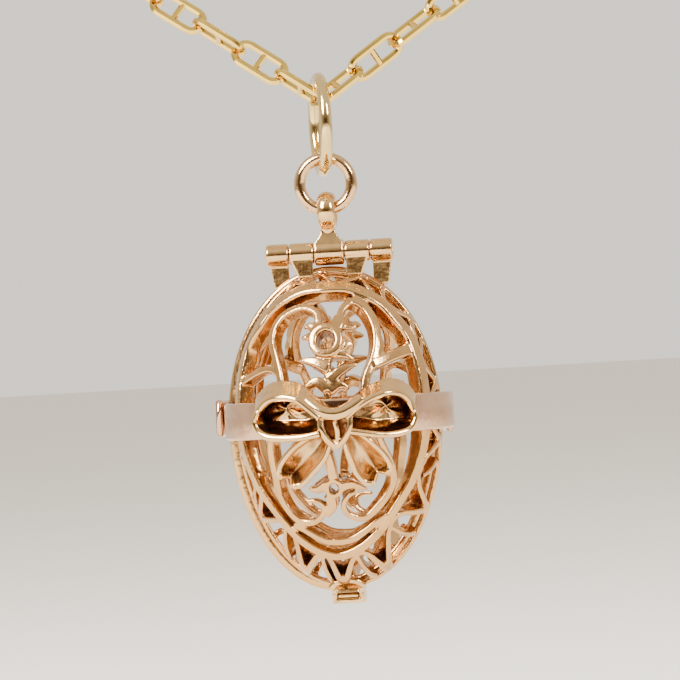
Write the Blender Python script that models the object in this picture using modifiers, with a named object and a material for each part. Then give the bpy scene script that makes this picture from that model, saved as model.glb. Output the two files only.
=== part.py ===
"""Pendant necklace: a hinged openwork egg locket on an anchor chain.

Run with blender --background --python part.py, or from Blender's text editor.
Units are metres and +Z is up. The necklace hangs as it is worn: the origin is the centre of
the clasp, where it rests on the back of the neck, and the locket's front faces -Y.
The locket is drawn from the centre of its hinge pin, at HINGE.
"""

import math

import bmesh
import bpy
from mathutils import Matrix, Vector

MM = 0.001

# ---------------------------------------------------------------- where the locket hangs
HINGE = Vector((0.0, -100.0, -130.0)) * MM
NAPE = Vector((0.0, 0.0, 0.0))     # the clasp's centre, at the back of the neck

# ---------------------------------------------------------------- clearances
GAP = 0.04 * MM                    # between pieces that touch on the real object
RUNNING_GAP = 0.04 * MM            # between a ring and the wire it hangs on, or pin and bore

# ---------------------------------------------------------------- egg halves
EGG_HALF_WIDTH = 6.3 * MM          # rim centre line at the widest place
EGG_TOP_REACH = 9.0 * MM           # rim centre line, above the widest place
EGG_BOTTOM_REACH = 10.6 * MM       # rim centre line, below the widest place
EGG_DEPTH = 5.8 * MM               # one half, split plane to the middle of its wire
RIM_RADIUS = 0.4 * MM
LATTICE_RADIUS = 0.2 * MM
LATTICE_WAVES = 15
LATTICE_INNER = 0.93               # reach of the border's inner ring, as a share of the egg
LATTICE_OUTER = 0.997              # reach of the wavy wire's outer turns, inside the rim's wire
LATTICE_LIFT = 0.05 * MM           # the wavy wire stands this much above the inner ring
FRAME_RADIUS = 0.38 * MM
FRAME_LIFT = 0.05 * MM             # the frame stands this much above the lattice
BAND_STAND = max(RIM_RADIUS, FRAME_LIFT + FRAME_RADIUS) + GAP  # egg's surface to the bands
SCROLL_RADIUS = 0.3 * MM
SMALL_RADIUS = 0.27 * MM           # leaves and small rings of the scrollwork
BACK_LEAN = math.radians(1.8)      # the worn hinge lets the back half hang a little askew

# the raised frame's half outline and the scrollwork strokes, as (x, z) seen from the front (mm);
# the strokes of PAIRED_STROKES are drawn on both sides of the middle
FRAME_HALF = [
    (0.0, -2.5), (1.9, -2.85), (3.5, -4.1), (4.75, -6.2), (5.25, -8.6), (5.15, -11.3),
    (4.6, -13.8), (3.4, -16.2), (1.8, -18.0),
]
FRAME_TIP = (0.0, -19.0)
PAIRED_STROKES = [
    [(-2.9, -9.2), (-3.6, -7.2), (-3.2, -5.0), (-2.0, -3.9), (-0.95, -4.35), (-1.1, -5.3)],
    [(-4.9, -7.5), (-4.2, -7.0), (-3.4, -6.9)],
    [(-3.0, -11.9), (-3.5, -13.6), (-2.9, -15.4), (-1.6, -16.5), (-0.75, -15.9), (-1.2, -15.0)],
    [(-1.35, -5.0), (-0.5, -5.4)],
    [(-1.45, -15.6), (-0.4, -14.9)],
]
MIDDLE_STROKES = [
    [(-2.7, -16.9), (-1.4, -16.9), (0.0, -16.55), (1.4, -16.9), (2.7, -16.9)],
    [(0.0, -6.1), (0.0, -8.8)],
]
SCROLL_RINGS = [(-5.55, 0.6), (-14.65, 0.45)]  # height and radius of the rosettes' rings (mm)

# ---------------------------------------------------------------- girdle bands and bow
GIRDLE_HEIGHT = 2.3 * MM
GIRDLE_WALL = 0.4 * MM
GIRDLE_STEP = 0.25 * MM            # how far the back band stands outside the front band
BOW_RIBBON = 0.42 * MM             # thickness of the ribbon
BOW_WIDTH = 1.5 * MM               # ribbon's width, front to back
BOW_KNOT = Vector((0.95, 0.8, 1.25)) * MM
KNOT_DROP = 0.5 * MM               # knot's middle, below the waist
TAIL_WIDTH = 1.5 * MM
TAIL_LIFT = 1.13 * MM              # tails' middle, above the egg's surface

# one loop and the two tails, as (x, z) seen from the front (mm)
BOW_LOOP = [
    (1.35, -10.35), (2.2, -8.9), (3.3, -8.25), (4.35, -8.6), (4.65, -9.7), (4.1, -10.8),
    (3.0, -11.3), (2.0, -11.2), (1.5, -10.95),
]
LEFT_TAIL = [(-1.0, -12.2), (-1.9, -13.0), (-2.9, -14.1)]
RIGHT_TAIL = [(0.7, -12.2), (1.2, -13.0), (1.75, -14.1)]

# ---------------------------------------------------------------- hinge
PIN_RADIUS = 0.28 * MM
KNUCKLE_RADIUS = 0.7 * MM
COLLAR_HALF_WIDTH = 0.93 * MM
INNER_KNUCKLE_WIDTH = 1.55 * MM
OUTER_KNUCKLE_WIDTH = 1.4 * MM
COLLAR_RISE = 0.1 * MM             # the collar's belly stands this much above the knuckles
COLLAR_CHAMFER = 0.15 * MM
LEAF_INSET = 0.1 * MM              # each leaf is this much narrower than its knuckle, per side
PIN_INSET = 0.1 * MM               # the pin's ends sit this far inside the outer knuckles

# ---------------------------------------------------------------- catch
CATCH_WIDTH = 2.0 * MM
CATCH_HEIGHT = 0.95 * MM
CATCH_DEPTH = 1.1 * MM             # sleeve, from the split plane to its front
CATCH_WALL = 0.3 * MM
FOOT_DEPTH = 0.8 * MM              # the tongue's foot, behind the split plane
TONGUE_CLEARANCE = 0.08 * MM
TONGUE_REACH = 0.15 * MM           # the tongue's end shows this much in front of the sleeve

# ---------------------------------------------------------------- hanging rings
EYE_HOLE = 0.5 * MM                # inner radius of the hanger's eye
EYE_WIRE = 0.375 * MM              # wire radius
JUMP_RING_HOLE = 1.25 * MM
JUMP_RING_WIRE = 0.375 * MM
BAIL_HOLE = 2.5 * MM
BAIL_WIRE = 0.4 * MM
EYE_CENTRE_Z = 2.58 * MM           # above the pin
STEM_RADIUS = 0.47 * MM            # the eye's stem
BAIL_TURN = math.radians(12.0)     # the bail ring's plane, turned about Z
BAIL_SHIFT = Vector((-0.1, -0.05, 0.0)) * MM  # where it settles under the crossing links
BAIL_PIVOT_DROP = 0.45 * MM        # the bail swings about a line this far below its inner top

# ---------------------------------------------------------------- anchor chain
LINK_LENGTH = 4.0 * MM             # outside
LINK_WIDTH = 1.86 * MM             # outside
LINK_WIRE = 0.22 * MM              # wire radius
LINK_BAR = 0.19 * MM               # radius of the bar across the middle
LINK_PITCH = LINK_LENGTH - 4.0 * LINK_WIRE - RUNNING_GAP
CHAIN_RISE = math.radians(35.0)    # each arm's slope beside the bail
CHAIN_LEAN = math.radians(8.0)     # each arm leans back over the chest
SINGLE_LINKS = 4                   # links drawn one by one on each side of the bail
RUN_RADIUS = 0.75 * MM             # plain tube that stands for the rest of each side
LINK_ROLLS = (math.radians(-65.0), math.radians(27.0))  # turned from face on, by turns
VERTEX_REACH = {-1: 0.3 * MM, 1: 0.45 * MM}  # how far each first link passes the crossing
VERTEX_SIDE = {-1: 0.0, 1: -0.3 * MM}        # the right first link crosses in front
BAIL_REST = 0.95 * MM              # chain's crossing to the bail's inner top
STRAIGHT_RUN = 3.0 * MM            # each tube starts straight behind its last single link

# the chain's right side from the single links to the nape, as it lies round a neck (mm)
NECK_ROUTE = [
    (22.0, -95.5, -104.5), (35.0, -90.0, -94.5), (47.0, -80.5, -82.0), (56.0, -67.0, -67.5),
    (61.0, -50.0, -52.0), (61.5, -33.0, -37.0), (56.0, -17.5, -22.5), (45.0, -6.5, -11.0),
    (30.0, -1.0, -4.0), (15.0, 0.0, -0.8),
]

# ---------------------------------------------------------------- bolt ring clasp
CLASP_RADIUS = 2.65 * MM           # centre line of the ring
CLASP_TUBE = 0.62 * MM             # outer radius of its tube
CLASP_WALL = 0.19 * MM
CLASP_BORE = CLASP_TUBE - CLASP_WALL
BOLT_PLAY = 0.07 * MM
BOLT_RADIUS = CLASP_BORE - BOLT_PLAY
MOUTH = (100.0, 150.0)             # degrees round the ring, from +X towards +Z
BORE_START = -20.0                 # degrees where the bore ends inside the tube
BOLT_LENGTH = 72.0                 # degrees
SLOT = (30.0, 92.0)                # degrees, for the thumb tab
TAB_AT = 84.0                      # degrees
TAB_RADIUS = 0.18 * MM
TAB_HEIGHT = 0.88 * MM             # above the ring's tube
SLOT_CLEARANCE = 0.08 * MM
END_PLAY = 1.0                     # degrees between the bolt's tip and the mouth's far side
SPRING_TURNS = 9
SPRING_WIRE = 0.06 * MM
SPRING_COIL = CLASP_BORE - SPRING_WIRE - 0.1 * MM  # coil's centre line
END_RING_HOLE = 1.1 * MM
END_RING_WIRE = 0.25 * MM
SOLDERED_LOOP_HOLE = 0.6 * MM

# ---------------------------------------------------------------- places that follow
EGG_WAIST = -(EGG_TOP_REACH + RIM_RADIUS + KNUCKLE_RADIUS + COLLAR_RISE)  # below the pin
CATCH_TOP = EGG_WAIST - EGG_BOTTOM_REACH - RIM_RADIUS - GAP
JUMP_CENTRE_Z = EYE_CENTRE_Z + EYE_HOLE - RUNNING_GAP + JUMP_RING_HOLE
BAIL_CENTRE_Z = JUMP_CENTRE_Z + JUMP_RING_HOLE - RUNNING_GAP + BAIL_HOLE
VERTEX = HINGE + Vector((0.0, 0.0, BAIL_CENTRE_Z + BAIL_HOLE - BAIL_REST))
BAIL_PIVOT = HINGE + Vector((0.0, BAIL_SHIFT.y, BAIL_CENTRE_Z + BAIL_HOLE - BAIL_PIVOT_DROP))
JUMP_PIVOT = HINGE + Vector((0.0, 0.0, BAIL_CENTRE_Z - BAIL_HOLE - BAIL_WIRE))
HANGER_PIVOT = HINGE + Vector((0.0, 0.0, JUMP_CENTRE_Z - JUMP_RING_HOLE - JUMP_RING_WIRE))
LEFT_RING_X = -CLASP_RADIUS - (END_RING_HOLE - CLASP_TUBE - RUNNING_GAP)
LOOP_X = CLASP_RADIUS + CLASP_TUBE + GAP + 2.0 * END_RING_WIRE + SOLDERED_LOOP_HOLE
RIGHT_RING_X = LOOP_X + SOLDERED_LOOP_HOLE - RUNNING_GAP + END_RING_HOLE

# ---------------------------------------------------------------- metals, as linear colours
ROSE = (0.66, 0.36, 0.20)
PALE = (0.72, 0.55, 0.32)
YELLOW = (0.83, 0.60, 0.22)
STEEL = (0.55, 0.55, 0.55)
CAST = 0.25                        # roughness
POLISHED = 0.12
WELD = 0.001 * MM                  # points this close are one
CREASE = math.radians(40.0)        # sharper edges are shaded as creases

# ---------------------------------------------------------------- scene and collections
for old in list(bpy.data.objects):
    bpy.data.objects.remove(old, do_unlink=True)
scene_root = bpy.context.scene.collection
parts = bpy.data.collections.new("pendant_necklace")
helpers = bpy.data.collections.new("cutters")
scene_root.children.link(parts)
scene_root.children.link(helpers)


def metal(name, colour, roughness):
    """A plain Principled metal."""
    material = bpy.data.materials.new(name)
    material.use_nodes = True
    shader = material.node_tree.nodes["Principled BSDF"]
    shader.inputs["Base Color"].default_value = (*colour, 1.0)
    shader.inputs["Metallic"].default_value = 1.0
    shader.inputs["Roughness"].default_value = roughness
    return material


# ---------------------------------------------------------------- shape helpers
def finish(obj, name, colour, roughness, pivot, home=None):
    """Names a finished piece, gives it its metal and puts its origin at the pivot."""
    place = obj.matrix_world if home is None else home @ obj.matrix_world
    obj.data.transform(Matrix.Translation(-pivot) @ place)
    obj.matrix_world = Matrix.Translation(pivot)
    obj.name = name
    obj.data.name = name
    obj.data.materials.clear()
    obj.data.materials.append(metal(name, colour, roughness))
    obj.data.shade_smooth()
    obj.data.set_sharp_from_angle(angle=CREASE)
    for collection in list(obj.users_collection):
        collection.objects.unlink(obj)
    parts.objects.link(obj)


def wire(points, radius, closed=False, resolution=1):
    """A round wire through the points, 4 + 2 * resolution sides."""
    curve = bpy.data.curves.new("wire", "CURVE")
    curve.dimensions = "3D"
    curve.bevel_depth = radius
    curve.bevel_resolution = resolution
    curve.use_fill_caps = True
    spline = curve.splines.new("POLY")
    spline.points.add(len(points) - 1)
    for target, point in zip(spline.points, points):
        target.co = (*point, 1.0)
    spline.use_cyclic_u = closed
    obj = bpy.data.objects.new("wire", curve)
    helpers.objects.link(obj)
    return obj


def as_mesh(obj):
    """The object as a plain mesh object in the same place, with its caps welded."""
    depsgraph = bpy.context.evaluated_depsgraph_get()
    mesh = bpy.data.meshes.new_from_object(obj.evaluated_get(depsgraph))
    soup = bmesh.new()
    soup.from_mesh(mesh)
    bmesh.ops.remove_doubles(soup, verts=soup.verts, dist=WELD)
    soup.to_mesh(mesh)
    soup.free()
    solid = bpy.data.objects.new("solid", mesh)
    helpers.objects.link(solid)
    solid.matrix_world = obj.matrix_world.copy()
    bpy.data.objects.remove(obj, do_unlink=True)
    return solid


def combine(base, others, operation):
    """Unites the others with the base, or cuts them from it, one after the other."""
    for other in others:
        modifier = base.modifiers.new("combine", "BOOLEAN")
        modifier.operation = operation
        modifier.solver = "EXACT"
        modifier.object = other
        bpy.context.view_layer.update()
        base = as_mesh(base)
        bpy.data.objects.remove(other, do_unlink=True)
    return base


def box(low, high):
    """A block between two corners."""
    mesh = bpy.data.meshes.new("box")
    soup = bmesh.new()
    bmesh.ops.create_cube(soup, size=1.0)
    size = Vector(high) - Vector(low)
    middle = (Vector(high) + Vector(low)) / 2.0
    bmesh.ops.transform(soup, matrix=Matrix.Translation(middle) @ Matrix.Diagonal((*size, 1.0)),
                        verts=soup.verts)
    soup.to_mesh(mesh)
    soup.free()
    obj = bpy.data.objects.new("box", mesh)
    helpers.objects.link(obj)
    return obj


def turned_on_x(profile, sides=16):
    """Turns a closed (x, radius) profile about the X axis."""
    mesh = bpy.data.meshes.new("turned")
    soup = bmesh.new()
    corners = [soup.verts.new((radius, 0.0, -x)) for x, radius in profile]
    for first, second in zip(corners, corners[1:] + corners[:1]):
        soup.edges.new((first, second))
    soup.to_mesh(mesh)
    soup.free()
    obj = bpy.data.objects.new("turned", mesh)
    helpers.objects.link(obj)
    obj.matrix_world = Matrix.Rotation(-math.pi / 2.0, 4, "Y")
    screw = obj.modifiers.new("turn", "SCREW")
    screw.steps = sides
    screw.render_steps = sides
    screw.use_merge_vertices = True
    screw.merge_threshold = WELD
    bpy.context.view_layer.update()
    return as_mesh(obj)


def tube_on_x(start, end, inner, outer):
    """A short tube along X."""
    low, high = min(start, end), max(start, end)
    return turned_on_x([(low, outer), (high, outer), (high, inner), (low, inner)])


def rod_on_x(start, end, radius):
    """A plain cylinder along X."""
    mesh = bpy.data.meshes.new("rod")
    soup = bmesh.new()
    bmesh.ops.create_cone(soup, cap_ends=True, segments=16, radius1=radius, radius2=radius,
                          depth=end - start)
    middle = Matrix.Translation(((start + end) / 2.0, 0.0, 0.0))
    bmesh.ops.transform(soup, matrix=middle @ Matrix.Rotation(math.pi / 2.0, 4, "Y"),
                        verts=soup.verts)
    soup.to_mesh(mesh)
    soup.free()
    rod = bpy.data.objects.new("rod", mesh)
    helpers.objects.link(rod)
    return rod


def arc(radius, start, end, steps, centre=(0.0, 0.0, 0.0), plane="XZ"):
    """Points round an arc, in degrees; from +X to +Z in plane XZ, and so on."""
    first, second = "XYZ".index(plane[0]), "XYZ".index(plane[1])
    points = []
    for step in range(steps + 1):
        angle = math.radians(start + (end - start) * step / steps)
        point = Vector(centre)
        point[first] += radius * math.cos(angle)
        point[second] += radius * math.sin(angle)
        points.append(point)
    return points


def ring(hole, wire_radius, centre, plane, steps=28, resolution=2):
    """A closed wire ring, given its inner radius."""
    points = arc(hole + wire_radius, 0.0, 360.0, steps, centre, plane)[:-1]
    return wire(points, wire_radius, closed=True, resolution=resolution)


def smooth(route, per_span, closed=False):
    """Points of a Catmull-Rom curve through the route."""
    route = [Vector(point) for point in route]
    count = len(route)
    spans = count if closed else count - 1
    points = []
    for span in range(spans):
        if closed:
            a, b, c, d = (route[(span + k - 1) % count] for k in range(4))
        else:
            b, c = route[span], route[span + 1]
            a = route[span - 1] if span > 0 else b * 2.0 - c
            d = route[span + 2] if span + 2 < count else c * 2.0 - b
        for step in range(per_span):
            t = step / per_span
            points.append(0.5 * (2.0 * b + (c - a) * t + (2.0 * a - 5.0 * b + 4.0 * c - d) * t * t
                                 + (3.0 * b - a - 3.0 * c + d) * t ** 3))
    if not closed:
        points.append(route[-1])
    return points


# ---------------------------------------------------------------- the egg's surface
def egg_reach(z):
    """The egg's half height on the side of the waist where z is."""
    return EGG_TOP_REACH if z > EGG_WAIST else EGG_BOTTOM_REACH


def on_egg(x, z, side, lift=0.0):
    """The surface point seen at (x, z) from the front; side is -1 in front and +1 behind."""
    tall = egg_reach(z)
    share = (x / EGG_HALF_WIDTH) ** 2 + ((z - EGG_WAIST) / tall) ** 2
    y = side * EGG_DEPTH * math.sqrt(max(0.0, 1.0 - share))
    outward = Vector((x / EGG_HALF_WIDTH ** 2, y / EGG_DEPTH ** 2, (z - EGG_WAIST) / tall ** 2))
    return Vector((x, y, z)) + outward.normalized() * lift


def round_egg(turn, reach, side, lift=0.0):
    """The surface point at an angle round the front view; reach is 0 at the pole, 1 at the rim."""
    x = EGG_HALF_WIDTH * reach * math.cos(turn)
    z = math.sin(turn)
    z = EGG_WAIST + (EGG_TOP_REACH if z > 0.0 else EGG_BOTTOM_REACH) * reach * z
    return on_egg(x, z, side, lift)


# ---------------------------------------------------------------- locket halves
def border(side):
    """Rim, inner ring and the wavy lattice wire between them, as one casting."""
    steps = 48
    turns = [2.0 * math.pi * step / steps for step in range(steps)]
    rim_plane = side * (RIM_RADIUS + GAP / 2.0)
    rim = [round_egg(turn, 1.0, side) for turn in turns]
    rim = [Vector((point.x, rim_plane, point.z)) for point in rim]
    inner = [round_egg(turn, LATTICE_INNER, side) for turn in turns]
    wave = []
    per_wave = 4
    for step in range(LATTICE_WAVES * per_wave):
        turn = math.pi / 2.0 + 2.0 * math.pi * step / (LATTICE_WAVES * per_wave)
        swing = 0.5 - 0.5 * math.cos(2.0 * math.pi * step / per_wave)
        reach = LATTICE_INNER + (LATTICE_OUTER - LATTICE_INNER) * swing
        wave.append(round_egg(turn, reach, side, LATTICE_LIFT))
    body = as_mesh(wire(rim, RIM_RADIUS, closed=True, resolution=1))
    lattice = [as_mesh(wire(inner, LATTICE_RADIUS, closed=True, resolution=0)),
               as_mesh(wire(wave, LATTICE_RADIUS, closed=True, resolution=0))]
    return combine(body, lattice, "UNION")


def stroke_wire(stroke, side, radius):
    """A scrollwork stroke laid on the egg."""
    flat = smooth([(x, 0.0, z) for x, z in stroke], 2 if len(stroke) > 2 else 1)
    route = [on_egg(point.x * MM, point.z * MM, side) for point in flat]
    return as_mesh(wire(route, radius, resolution=0))


def mirrored(stroke):
    """The same stroke on the other side of the middle."""
    return [(-x, z) for x, z in stroke]


def panel(side):
    """The raised frame with the scrollwork that fills it, as one casting."""
    outline = FRAME_HALF + [FRAME_TIP] + mirrored(FRAME_HALF[:0:-1])
    flat = smooth([(x, 0.0, z) for x, z in outline], 2, closed=True)
    frame = [on_egg(point.x * MM, point.z * MM, side, FRAME_LIFT) for point in flat]
    body = as_mesh(wire(frame, FRAME_RADIUS, closed=True, resolution=1))
    pieces = []
    for stroke in PAIRED_STROKES:
        radius = SCROLL_RADIUS if len(stroke) > 2 else SMALL_RADIUS
        pieces.append(stroke_wire(stroke, side, radius))
        pieces.append(stroke_wire(mirrored(stroke), side, radius))
    for stroke in MIDDLE_STROKES:
        pieces.append(stroke_wire(stroke, side, SCROLL_RADIUS))
    for height, radius in SCROLL_RINGS:
        loop = [on_egg(point.x, point.z, side)
                for point in arc(radius * MM, 0.0, 360.0, 10, (0.0, 0.0, height * MM))[:-1]]
        pieces.append(as_mesh(wire(loop, SMALL_RADIUS, closed=True, resolution=0)))
    return combine(body, pieces, "UNION")


def girdle(side, step_out):
    """The plain band round the waist of one half."""
    inner_x = EGG_HALF_WIDTH + BAND_STAND + step_out
    inner_y = EGG_DEPTH + BAND_STAND + step_out
    mesh = bpy.data.meshes.new("girdle")
    soup = bmesh.new()
    start = math.asin((GAP / 2.0) / inner_y)
    rows = []
    steps = 24
    for step in range(steps + 1):
        turn = start + (math.pi - 2.0 * start) * step / steps
        x = inner_x * math.cos(turn)
        y = side * inner_y * math.sin(turn)
        heights = (EGG_WAIST - GIRDLE_HEIGHT / 2.0, EGG_WAIST + GIRDLE_HEIGHT / 2.0)
        rows.append([soup.verts.new((x, y, height)) for height in heights])
    for first, second in zip(rows, rows[1:]):
        corners = (first[0], second[0], second[1], first[1])
        soup.faces.new(corners if side > 0 else corners[::-1])
    soup.to_mesh(mesh)
    soup.free()
    obj = bpy.data.objects.new("girdle", mesh)
    helpers.objects.link(obj)
    wall = obj.modifiers.new("wall", "SOLIDIFY")
    wall.thickness = GIRDLE_WALL
    wall.offset = 1.0
    bpy.context.view_layer.update()
    return as_mesh(obj)


# ---------------------------------------------------------------- hinge
def knuckle(near, far, side):
    """A hinge knuckle from x near to far with the leaf that joins it to the rim below."""
    low, high = min(near, far), max(near, far)
    tube = tube_on_x(low, high, PIN_RADIUS + RUNNING_GAP, KNUCKLE_RADIUS)
    share = abs(near) / EGG_HALF_WIDTH
    rim_top = EGG_WAIST + EGG_TOP_REACH * math.sqrt(1.0 - share ** 2) + RIM_RADIUS
    rim_top += abs(far) * math.sin(BACK_LEAN)
    inside = side * (PIN_RADIUS + RUNNING_GAP)
    outside = side * KNUCKLE_RADIUS * 0.97
    leaf = box((low + LEAF_INSET, min(inside, outside), rim_top + GAP),
               (high - LEAF_INSET, max(inside, outside), -KNUCKLE_RADIUS * 0.55))
    return combine(tube, [leaf], "UNION")


def collar():
    """The middle knuckle, with square shoulders, that carries the eye."""
    half = COLLAR_HALF_WIDTH
    bore = PIN_RADIUS + RUNNING_GAP
    belly = KNUCKLE_RADIUS + COLLAR_RISE
    shoulder = half - COLLAR_CHAMFER
    profile = [(-half, KNUCKLE_RADIUS), (-shoulder, belly), (shoulder, belly),
               (half, KNUCKLE_RADIUS), (half, bore), (-half, bore)]
    return turned_on_x(profile)


def eye_ring():
    """The eye above the collar, with its stem."""
    eye = as_mesh(ring(EYE_HOLE, EYE_WIRE, (0.0, 0.0, EYE_CENTRE_Z), "YZ", steps=20))
    low = KNUCKLE_RADIUS + COLLAR_RISE + GAP
    stem = as_mesh(wire([(0.0, 0.0, low), (0.0, 0.0, EYE_CENTRE_Z - EYE_HOLE - EYE_WIRE)],
                        STEM_RADIUS, resolution=2))
    return combine(eye, [stem], "UNION")


# ---------------------------------------------------------------- bow
def band_front(x):
    """The front band's outer face at x."""
    wide = EGG_HALF_WIDTH + BAND_STAND + GIRDLE_WALL
    deep = EGG_DEPTH + BAND_STAND + GIRDLE_WALL
    return -deep * math.sqrt(max(0.0, 1.0 - (x / wide) ** 2))


def ribbon(centres, tangents_out, width, thickness):
    """A closed ribbon through cross sections: each centre has its own width direction."""
    mesh = bpy.data.meshes.new("ribbon")
    soup = bmesh.new()
    rows = []
    for centre, across in zip(centres, tangents_out):
        half = across.normalized() * (width / 2.0)
        rows.append([soup.verts.new(centre - half), soup.verts.new(centre + half)])
    for first, second in zip(rows, rows[1:]):
        soup.faces.new((first[0], second[0], second[1], first[1]))
    soup.to_mesh(mesh)
    soup.free()
    obj = bpy.data.objects.new("ribbon", mesh)
    helpers.objects.link(obj)
    wall = obj.modifiers.new("wall", "SOLIDIFY")
    wall.thickness = thickness
    wall.offset = 0.0
    bpy.context.view_layer.update()
    return as_mesh(obj)


def bow_loop(hand):
    """One ribbon loop, open to the front; its back edge follows the band."""
    flat = smooth([(x, 0.0, z) for x, z in BOW_LOOP], 3)
    centres = []
    for point in flat:
        x = hand * point.x * MM
        y = band_front(abs(x) - BOW_RIBBON) - GAP - BOW_WIDTH / 2.0
        centres.append(Vector((x, y, point.z * MM)))
    across = [Vector((0.0, 1.0, 0.0))] * len(centres)
    return ribbon(centres, across, BOW_WIDTH, BOW_RIBBON)


def bow_tail(route):
    """One ribbon end hanging below the knot, clear of the band and the panel."""
    flat = smooth([(x, 0.0, z) for x, z in route], 3)
    centres = []
    for point in flat:
        centres.append(on_egg(point.x * MM, point.z * MM, -1, TAIL_LIFT))
    across = []
    for index, centre in enumerate(centres):
        along = centres[min(index + 1, len(centres) - 1)] - centres[max(index - 1, 0)]
        across.append(along.cross(Vector((0.0, -1.0, 0.0))))
    return ribbon(centres, across, TAIL_WIDTH, BOW_RIBBON * 0.8)


def bow_knot():
    """The folded knot over the meeting of the loops."""
    mesh = bpy.data.meshes.new("knot")
    soup = bmesh.new()
    bmesh.ops.create_uvsphere(soup, u_segments=12, v_segments=8, radius=1.0)
    middle = Vector((0.0, band_front(0.0) - GAP - BOW_KNOT.y, EGG_WAIST - KNOT_DROP))
    bmesh.ops.transform(soup, matrix=Matrix.Translation(middle) @ Matrix.Diagonal((*BOW_KNOT, 1.0)),
                        verts=soup.verts)
    soup.to_mesh(mesh)
    soup.free()
    obj = bpy.data.objects.new("knot", mesh)
    helpers.objects.link(obj)
    return obj


# ---------------------------------------------------------------- catch
def catch_box():
    """The front half's catch: a short square sleeve under the rim."""
    half = CATCH_WIDTH / 2.0
    bottom = CATCH_TOP - CATCH_HEIGHT
    outer = box((-half, -CATCH_DEPTH, bottom), (half, -GAP / 2.0, CATCH_TOP))
    hole = box((-half + CATCH_WALL, -2.0 * CATCH_DEPTH, bottom + CATCH_WALL),
               (half - CATCH_WALL, CATCH_DEPTH, CATCH_TOP - CATCH_WALL))
    return combine(outer, [hole], "DIFFERENCE")


def catch_tongue():
    """The back half's tongue, which passes through the sleeve, and its foot."""
    half = CATCH_WIDTH / 2.0
    bottom = CATCH_TOP - CATCH_HEIGHT
    inset = CATCH_WALL + TONGUE_CLEARANCE
    tongue = box((-half + inset, -CATCH_DEPTH - TONGUE_REACH, bottom + inset),
                 (half - inset, FOOT_DEPTH / 2.0, CATCH_TOP - inset))
    foot = box((-half, GAP / 2.0, bottom), (half, FOOT_DEPTH, CATCH_TOP))
    return combine(foot, [tongue], "UNION")


# ---------------------------------------------------------------- chain
def link_path():
    """The link's long round outline in its own plane, length along X and width along Z."""
    end_radius = LINK_WIDTH / 2.0 - LINK_WIRE
    reach = LINK_LENGTH / 2.0 - LINK_WIRE - end_radius
    right = arc(end_radius, -90.0, 90.0, 6, (reach, 0.0, 0.0))
    left = arc(end_radius, 90.0, 270.0, 6, (-reach, 0.0, 0.0))
    return right + left


def anchor_link():
    """One chain link with the bar across its middle."""
    loop = as_mesh(wire(link_path(), LINK_WIRE, closed=True, resolution=1))
    half = LINK_WIDTH / 2.0 - LINK_WIRE
    bar = as_mesh(wire([(0.0, 0.0, -half), (0.0, 0.0, half)], LINK_BAR, resolution=1))
    return combine(loop, [bar], "UNION")


def arm_direction(hand):
    """The direction in which one side of the chain leaves the bail."""
    flat = math.cos(CHAIN_LEAN)
    return Vector((hand * math.cos(CHAIN_RISE) * flat, math.sin(CHAIN_LEAN),
                   math.sin(CHAIN_RISE) * flat))


def place_link(centre, along, roll):
    """Where a link lies: its length along the chain, turned by roll about it from face on."""
    x_axis = along.normalized()
    y_axis = Vector((0.0, 0.0, 1.0)).cross(x_axis).normalized()
    z_axis = x_axis.cross(y_axis)
    frame = Matrix((x_axis, y_axis, z_axis)).transposed().to_4x4()
    return Matrix.Translation(centre) @ frame @ Matrix.Rotation(roll, 4, "X")


def arm_point(hand, number):
    """The middle of a link, counted from 1 at the bail."""
    start = VERTEX + Vector((0.0, VERTEX_SIDE[hand], 0.0))
    reach = LINK_LENGTH / 2.0 - LINK_WIRE - VERTEX_REACH[hand] + (number - 1) * LINK_PITCH
    return start + arm_direction(hand) * reach


def chain_links():
    """The links on both sides of the bail; neighbours are a quarter turn apart."""
    for hand, side in ((-1, "left"), (1, "right")):
        for number in range(1, SINGLE_LINKS + 1):
            link = anchor_link()
            roll = LINK_ROLLS[(number - 1) % 2]
            link.matrix_world = place_link(arm_point(hand, number), arm_direction(hand), roll)
            finish(link, f"chain_link_{side}_{number}", YELLOW, POLISHED, NAPE)


def chain_run(hand):
    """The plain tube that stands for the rest of one side, up to its end ring."""
    along = arm_direction(hand)
    start = arm_point(hand, SINGLE_LINKS) + along * (LINK_LENGTH / 2.0 + GAP)
    route = [start, start + along * STRAIGHT_RUN]
    route += [Vector((hand * x, y, z)) * MM for x, y, z in NECK_ROUTE]
    end_x = run_end(hand)
    route += [Vector((end_x + hand * STRAIGHT_RUN, 0.0, 0.0)), Vector((end_x, 0.0, 0.0))]
    return as_mesh(wire(smooth(route, 4), RUN_RADIUS, resolution=1))


# ---------------------------------------------------------------- clasp
def run_end(hand):
    """Where the plain tube stops beside the end ring on its side."""
    centre = LEFT_RING_X if hand < 0 else RIGHT_RING_X
    return centre + hand * (END_RING_HOLE + 2.0 * END_RING_WIRE + GAP)


def clasp_body():
    """The hollow ring with its mouth, its bore and the slot for the thumb tab."""
    outer = as_mesh(wire(arc(CLASP_RADIUS, MOUTH[1], MOUTH[0] + 360.0, 38), CLASP_TUBE, resolution=2))
    bore = as_mesh(wire(arc(CLASP_RADIUS, BORE_START, MOUTH[0] + 3.0, 18), CLASP_BORE, resolution=2))
    slot_points = arc(CLASP_RADIUS + CLASP_TUBE - CLASP_WALL / 2.0, SLOT[0], SLOT[1], 8)
    slot = as_mesh(wire(slot_points, TAB_RADIUS + SLOT_CLEARANCE, resolution=1))
    return combine(outer, [bore, slot], "DIFFERENCE")


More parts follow.
